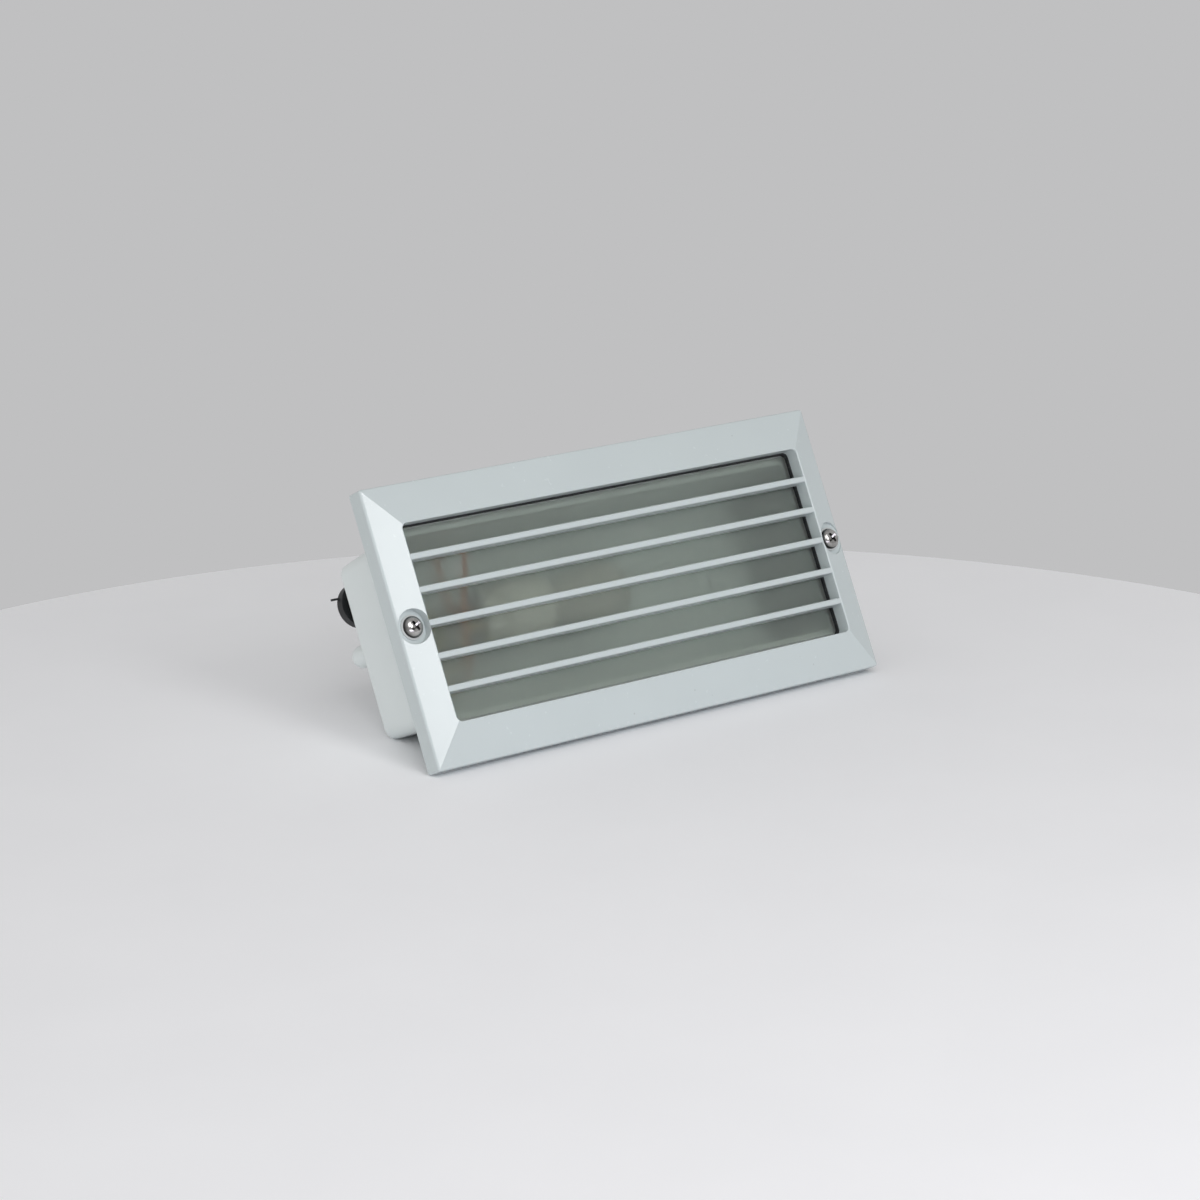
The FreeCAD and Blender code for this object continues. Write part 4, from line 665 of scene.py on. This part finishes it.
class STEPLIGHT_OT_lamp(bpy.types.Operator):
    """Makes the lamp's cap and filament and finishes its glass"""

    bl_idname = "steplight.lamp"
    bl_label = "Make the lamp"

    def execute(self, context):
        # A pearl lamp: its inside is etched, so the bulb glows pale and hides most of the filament.
        dress(blown_glass("Pearl soda-lime glass", "#FCFBF4", 0.3, 0.6), "lamp_glass")
        dress(blown_glass("Drawn glass stem", "#F2F7F4", 0.02, 0.0), "lamp_stem")
        # Aluminium strip rolled into a thread: pale, soft shine, dull in the roots.
        make_lamp_cap(worked_metal("Rolled aluminium", "#D3D3D1", 0.28, 0.3, (0.2, 1.0, 1.0), "#ABABA7"))
        # Drawn tungsten: dark grey, dull.
        make_filament(worked_metal("Drawn tungsten", "#6E6C6A", 0.42, 0.2, (1.0, 1.0, 0.2)))
        dress(worked_metal("Drawn nickel wire", "#A9A59C", 0.3, 0.2, (0.2, 1.0, 1.0)), "lamp_support_wires")
        # Lead-tin solder set from a drop: grey and slightly frosted.
        dress(worked_metal("Set solder", "#A6A7A8", 0.38, 0.6, (1.0, 1.0, 1.0), "#7F8082"), "lamp_contact")
        dress(moulded_plastic("Vitrified black glass", linear("#141418"), 0.14, 1.2), "lamp_insulator")
        return {"FINISHED"}


# ---- wiring --------------------------------------------------------------------------------------


class STEPLIGHT_OT_wiring(bpy.types.Operator):
    """Finishes the three leads, the terminal block and the earth parts"""

    bl_idname = "steplight.wiring"
    bl_label = "Finish the wiring"

    def execute(self, context):
        colours = context.scene.step_light_leads
        dress(moulded_plastic("Polyamide, ivory", linear("#DDD8C8"), 0.4, 0.5), "terminal_block")
        brass = worked_metal("Turned brass", "#CFA95A", 0.24, 0.25, (0.15, 1.0, 1.0), "#A67F3C")
        dress(brass, "terminal_barrels", "earth_screw")
        dress(worked_metal("Tinned copper", "#C5C2BC", 0.32, 0.3, (1.0, 1.0, 1.0), "#B79C86"), "earth_tag")
        for node, tone in (("live_lead", colours.live), ("neutral_lead", colours.neutral)):
            dress(moulded_plastic("Silicone sleeve, " + node[:-5], tone, 0.42, 0.6), node)
        striped = striped_insulation("PVC, green and yellow", colours.earth, colours.stripe)
        dress(striped, "earth_lead")
        return {"FINISHED"}


# ---- stage ---------------------------------------------------------------------------------------

LEAN = math.radians(26.9)
TABLE_UP = Vector((0, -math.sin(LEAN), math.cos(LEAN)))
TABLE_BACK = Vector((0, math.cos(LEAN), math.sin(LEAN)))
TABLE_DROP = -53.6 * MM
TABLE_CENTRE = Vector((-0.097, 0, 0)) + TABLE_BACK * -0.1404
# Name, direction from the light, distance, width and height in metres, value used, colour.
LAMPS = (
    ("window_lamp", (-0.03, -0.99, 0.11), 1.3, (0.30, 0.42), "window", "#FFFFFF"),
    ("key_lamp", (-0.32, -0.86, 0.40), 2.4, (1.4, 1.4), "key", "#FFFFFF"),
    ("low_lamp", (-0.34, -0.86, -0.38), 1.3, (0.9, 0.25), "low", "#F1EDFF"),
)
CAMERA_LENS = 109.8        # millimetres, on a sensor 36 mm wide
CAMERA_SENSOR = 36.0
CAMERA_PLACE = Vector((-938.85, -1246.9, -157.63)) * MM
CAMERA_AXES = ((0.78661, -0.55064, -0.27935), (0.16895, -0.24322, 0.95514), (-0.59388, -0.79852, -0.09829))


def one_sided(tree, shader):
    """Lets a stage surface vanish from behind, so that it hides nothing in a low view."""
    side = add(tree, "ShaderNodeNewGeometry")
    gone = add(tree, "ShaderNodeBsdfTransparent")
    return add(tree, "ShaderNodeMixShader", links={0: side.outputs["Backfacing"], 1: shader.outputs[0],
                                                  2: gone.outputs[0]})


def make_table(sizes):
    """Round table top on which the light leans back, seen from above only."""
    material, tree, output = blank_material("Matt white laminate")
    place = add(tree, "ShaderNodeTexCoord").outputs["Object"]
    mottle = add(tree, "ShaderNodeTexNoise", {"Scale": per_mm(60), "Detail": 3.0}, {"Vector": place})
    shade = add(tree, "ShaderNodeMix",
                {"A": rgba(sizes.table_tone, 0.97), "B": rgba(sizes.table_tone, 1.02)},
                {"Factor": mottle.outputs["Fac"]}, data_type="RGBA")
    shader = add(tree, "ShaderNodeBsdfPrincipled", {"Roughness": 0.6},
                 {"Base Color": shade.outputs["Result"]})
    tree.links.new(one_sided(tree, shader).outputs[0], output.inputs["Surface"])
    centre = TABLE_UP * TABLE_DROP + TABLE_CENTRE
    columns = 192

    def point(i, j):
        angle = 2 * math.pi * j / columns
        reach = sizes.table_radius * i
        return centre + Vector((1, 0, 0)) * reach * math.cos(angle) - TABLE_BACK * reach * math.sin(angle)

    grid_piece("table_top", 2, columns, point, material)


def make_lamp(name, way, distance, size, power, tone):
    """Soft rectangular lamp that faces the light and can't be seen itself."""
    data = bpy.data.lights.new(name, "AREA")
    data.shape = "RECTANGLE"
    data.size, data.size_y = size
    data.energy = power
    data.color = linear(tone)
    lamp = bpy.data.objects.new(name, data)
    bpy.context.scene.collection.objects.link(lamp)
    away = Vector(way).normalized()
    lamp.location = away * distance
    lamp.rotation_euler = away.to_track_quat("Z", "Y").to_euler()
    lamp.visible_camera = False
    return lamp


def make_world(sizes):
    """Even light all round; the backdrop's tone is what the camera sees."""
    world = bpy.data.worlds.new("Studio")
    bpy.context.scene.world = world
    world.use_nodes = True
    tree = world.node_tree
    tree.nodes.clear()
    output = add(tree, "ShaderNodeOutputWorld")
    seen = add(tree, "ShaderNodeBackground", {"Color": rgba(sizes.backdrop_tone), "Strength": 1.0})
    # A room with its windows up on the left: the fill grows that way.
    way = add(tree, "ShaderNodeTexCoord")
    lean = add(tree, "ShaderNodeVectorMath", {1: tuple(sizes.slant)}, {0: way.outputs["Generated"]},
               operation="DOT_PRODUCT")
    level = add(tree, "ShaderNodeMath", {1: sizes.fill}, {0: lean.outputs["Value"]}, operation="ADD")
    fill = add(tree, "ShaderNodeBackground", {"Color": (1.0, 1.0, 1.0, 1.0)},
               {"Strength": level.outputs[0]})
    # Metal and glass see the backdrop too, so its tone is for the camera's, glossy and glass rays.
    rays = add(tree, "ShaderNodeLightPath")
    bright = add(tree, "ShaderNodeMath", links={0: rays.outputs["Is Camera Ray"],
                                                1: rays.outputs["Is Glossy Ray"]}, operation="ADD")
    all_seen = add(tree, "ShaderNodeMath", links={0: bright.outputs[0],
                                                  1: rays.outputs["Is Transmission Ray"]},
                   operation="ADD", use_clamp=True)
    mixed = add(tree, "ShaderNodeMixShader", links={0: all_seen.outputs[0], 1: fill.outputs[0],
                                                   2: seen.outputs[0]})
    tree.links.new(mixed.outputs[0], output.inputs["Surface"])


def make_camera():
    """Camera where the photograph was taken from."""
    data = bpy.data.cameras.new("Camera")
    data.lens = CAMERA_LENS
    data.sensor_width = CAMERA_SENSOR
    data.clip_start = 0.01
    camera = bpy.data.objects.new("Camera", data)
    bpy.context.scene.collection.objects.link(camera)
    turn = Matrix(CAMERA_AXES).transposed().to_4x4()
    camera.matrix_world = Matrix.Translation(CAMERA_PLACE) @ turn
    bpy.context.scene.camera = camera


class STEPLIGHT_OT_stage(bpy.types.Operator):
    """Sets the table, the lamps, the backdrop's tone and the camera"""

    bl_idname = "steplight.stage"
    bl_label = "Set the stage"

    def execute(self, context):
        sizes = context.scene.step_light_stage
        make_table(sizes)
        make_world(sizes)
        for name, way, distance, size, value, tone in LAMPS:
            make_lamp(name, way, distance, size, getattr(sizes, value), tone)
        make_camera()
        context.scene.view_settings.view_transform = "Standard"
        return {"FINISHED"}


# ---- sidebar and registration ---------------------------------------------------------------------

OPERATORS = (
    STEPLIGHT_OT_stage,
    STEPLIGHT_OT_castings,
    STEPLIGHT_OT_glazing,
    STEPLIGHT_OT_cover_screws,
    STEPLIGHT_OT_lampholder,
    STEPLIGHT_OT_lamp,
    STEPLIGHT_OT_wiring,
)
GROUPS = {
    "step_light_finish": StepLightFinish,
    "step_light_screws": StepLightScrews,
    "step_light_lamp": StepLightLamp,
    "step_light_leads": StepLightLeads,
    "step_light_stage": StepLightStage,
}


class STEPLIGHT_PT_sidebar(bpy.types.Panel):
    """Lists the steps and the values that they use"""

    bl_idname = "STEPLIGHT_PT_sidebar"
    bl_label = "Step Light"
    bl_space_type = "VIEW_3D"
    bl_region_type = "UI"
    bl_category = "Step Light"

    def draw(self, context):
        for operator in OPERATORS:
            self.layout.operator(operator.bl_idname)
        for name in GROUPS:
            group = getattr(context.scene, name)
            column = self.layout.column(align=True)
            for key in group.__annotations__:
                column.prop(group, key)


def register():
    """Registers the value groups, the operators and the sidebar panel."""
    for name, group in GROUPS.items():
        bpy.utils.register_class(group)
        setattr(bpy.types.Scene, name, PointerProperty(type=group))
    for made in (*OPERATORS, STEPLIGHT_PT_sidebar):
        bpy.utils.register_class(made)


def unregister():
    """Takes everything out again."""
    for made in (STEPLIGHT_PT_sidebar, *reversed(OPERATORS)):
        bpy.utils.unregister_class(made)
    for name, group in GROUPS.items():
        delattr(bpy.types.Scene, name)
        bpy.utils.unregister_class(group)


def main():
    """Runs every step in order."""
    register()
    bpy.ops.steplight.stage()
    bpy.ops.steplight.castings()
    bpy.ops.steplight.glazing()
    bpy.ops.steplight.cover_screws()
    bpy.ops.steplight.lampholder()
    bpy.ops.steplight.lamp()
    bpy.ops.steplight.wiring()


if __name__ == "__main__":
    main()
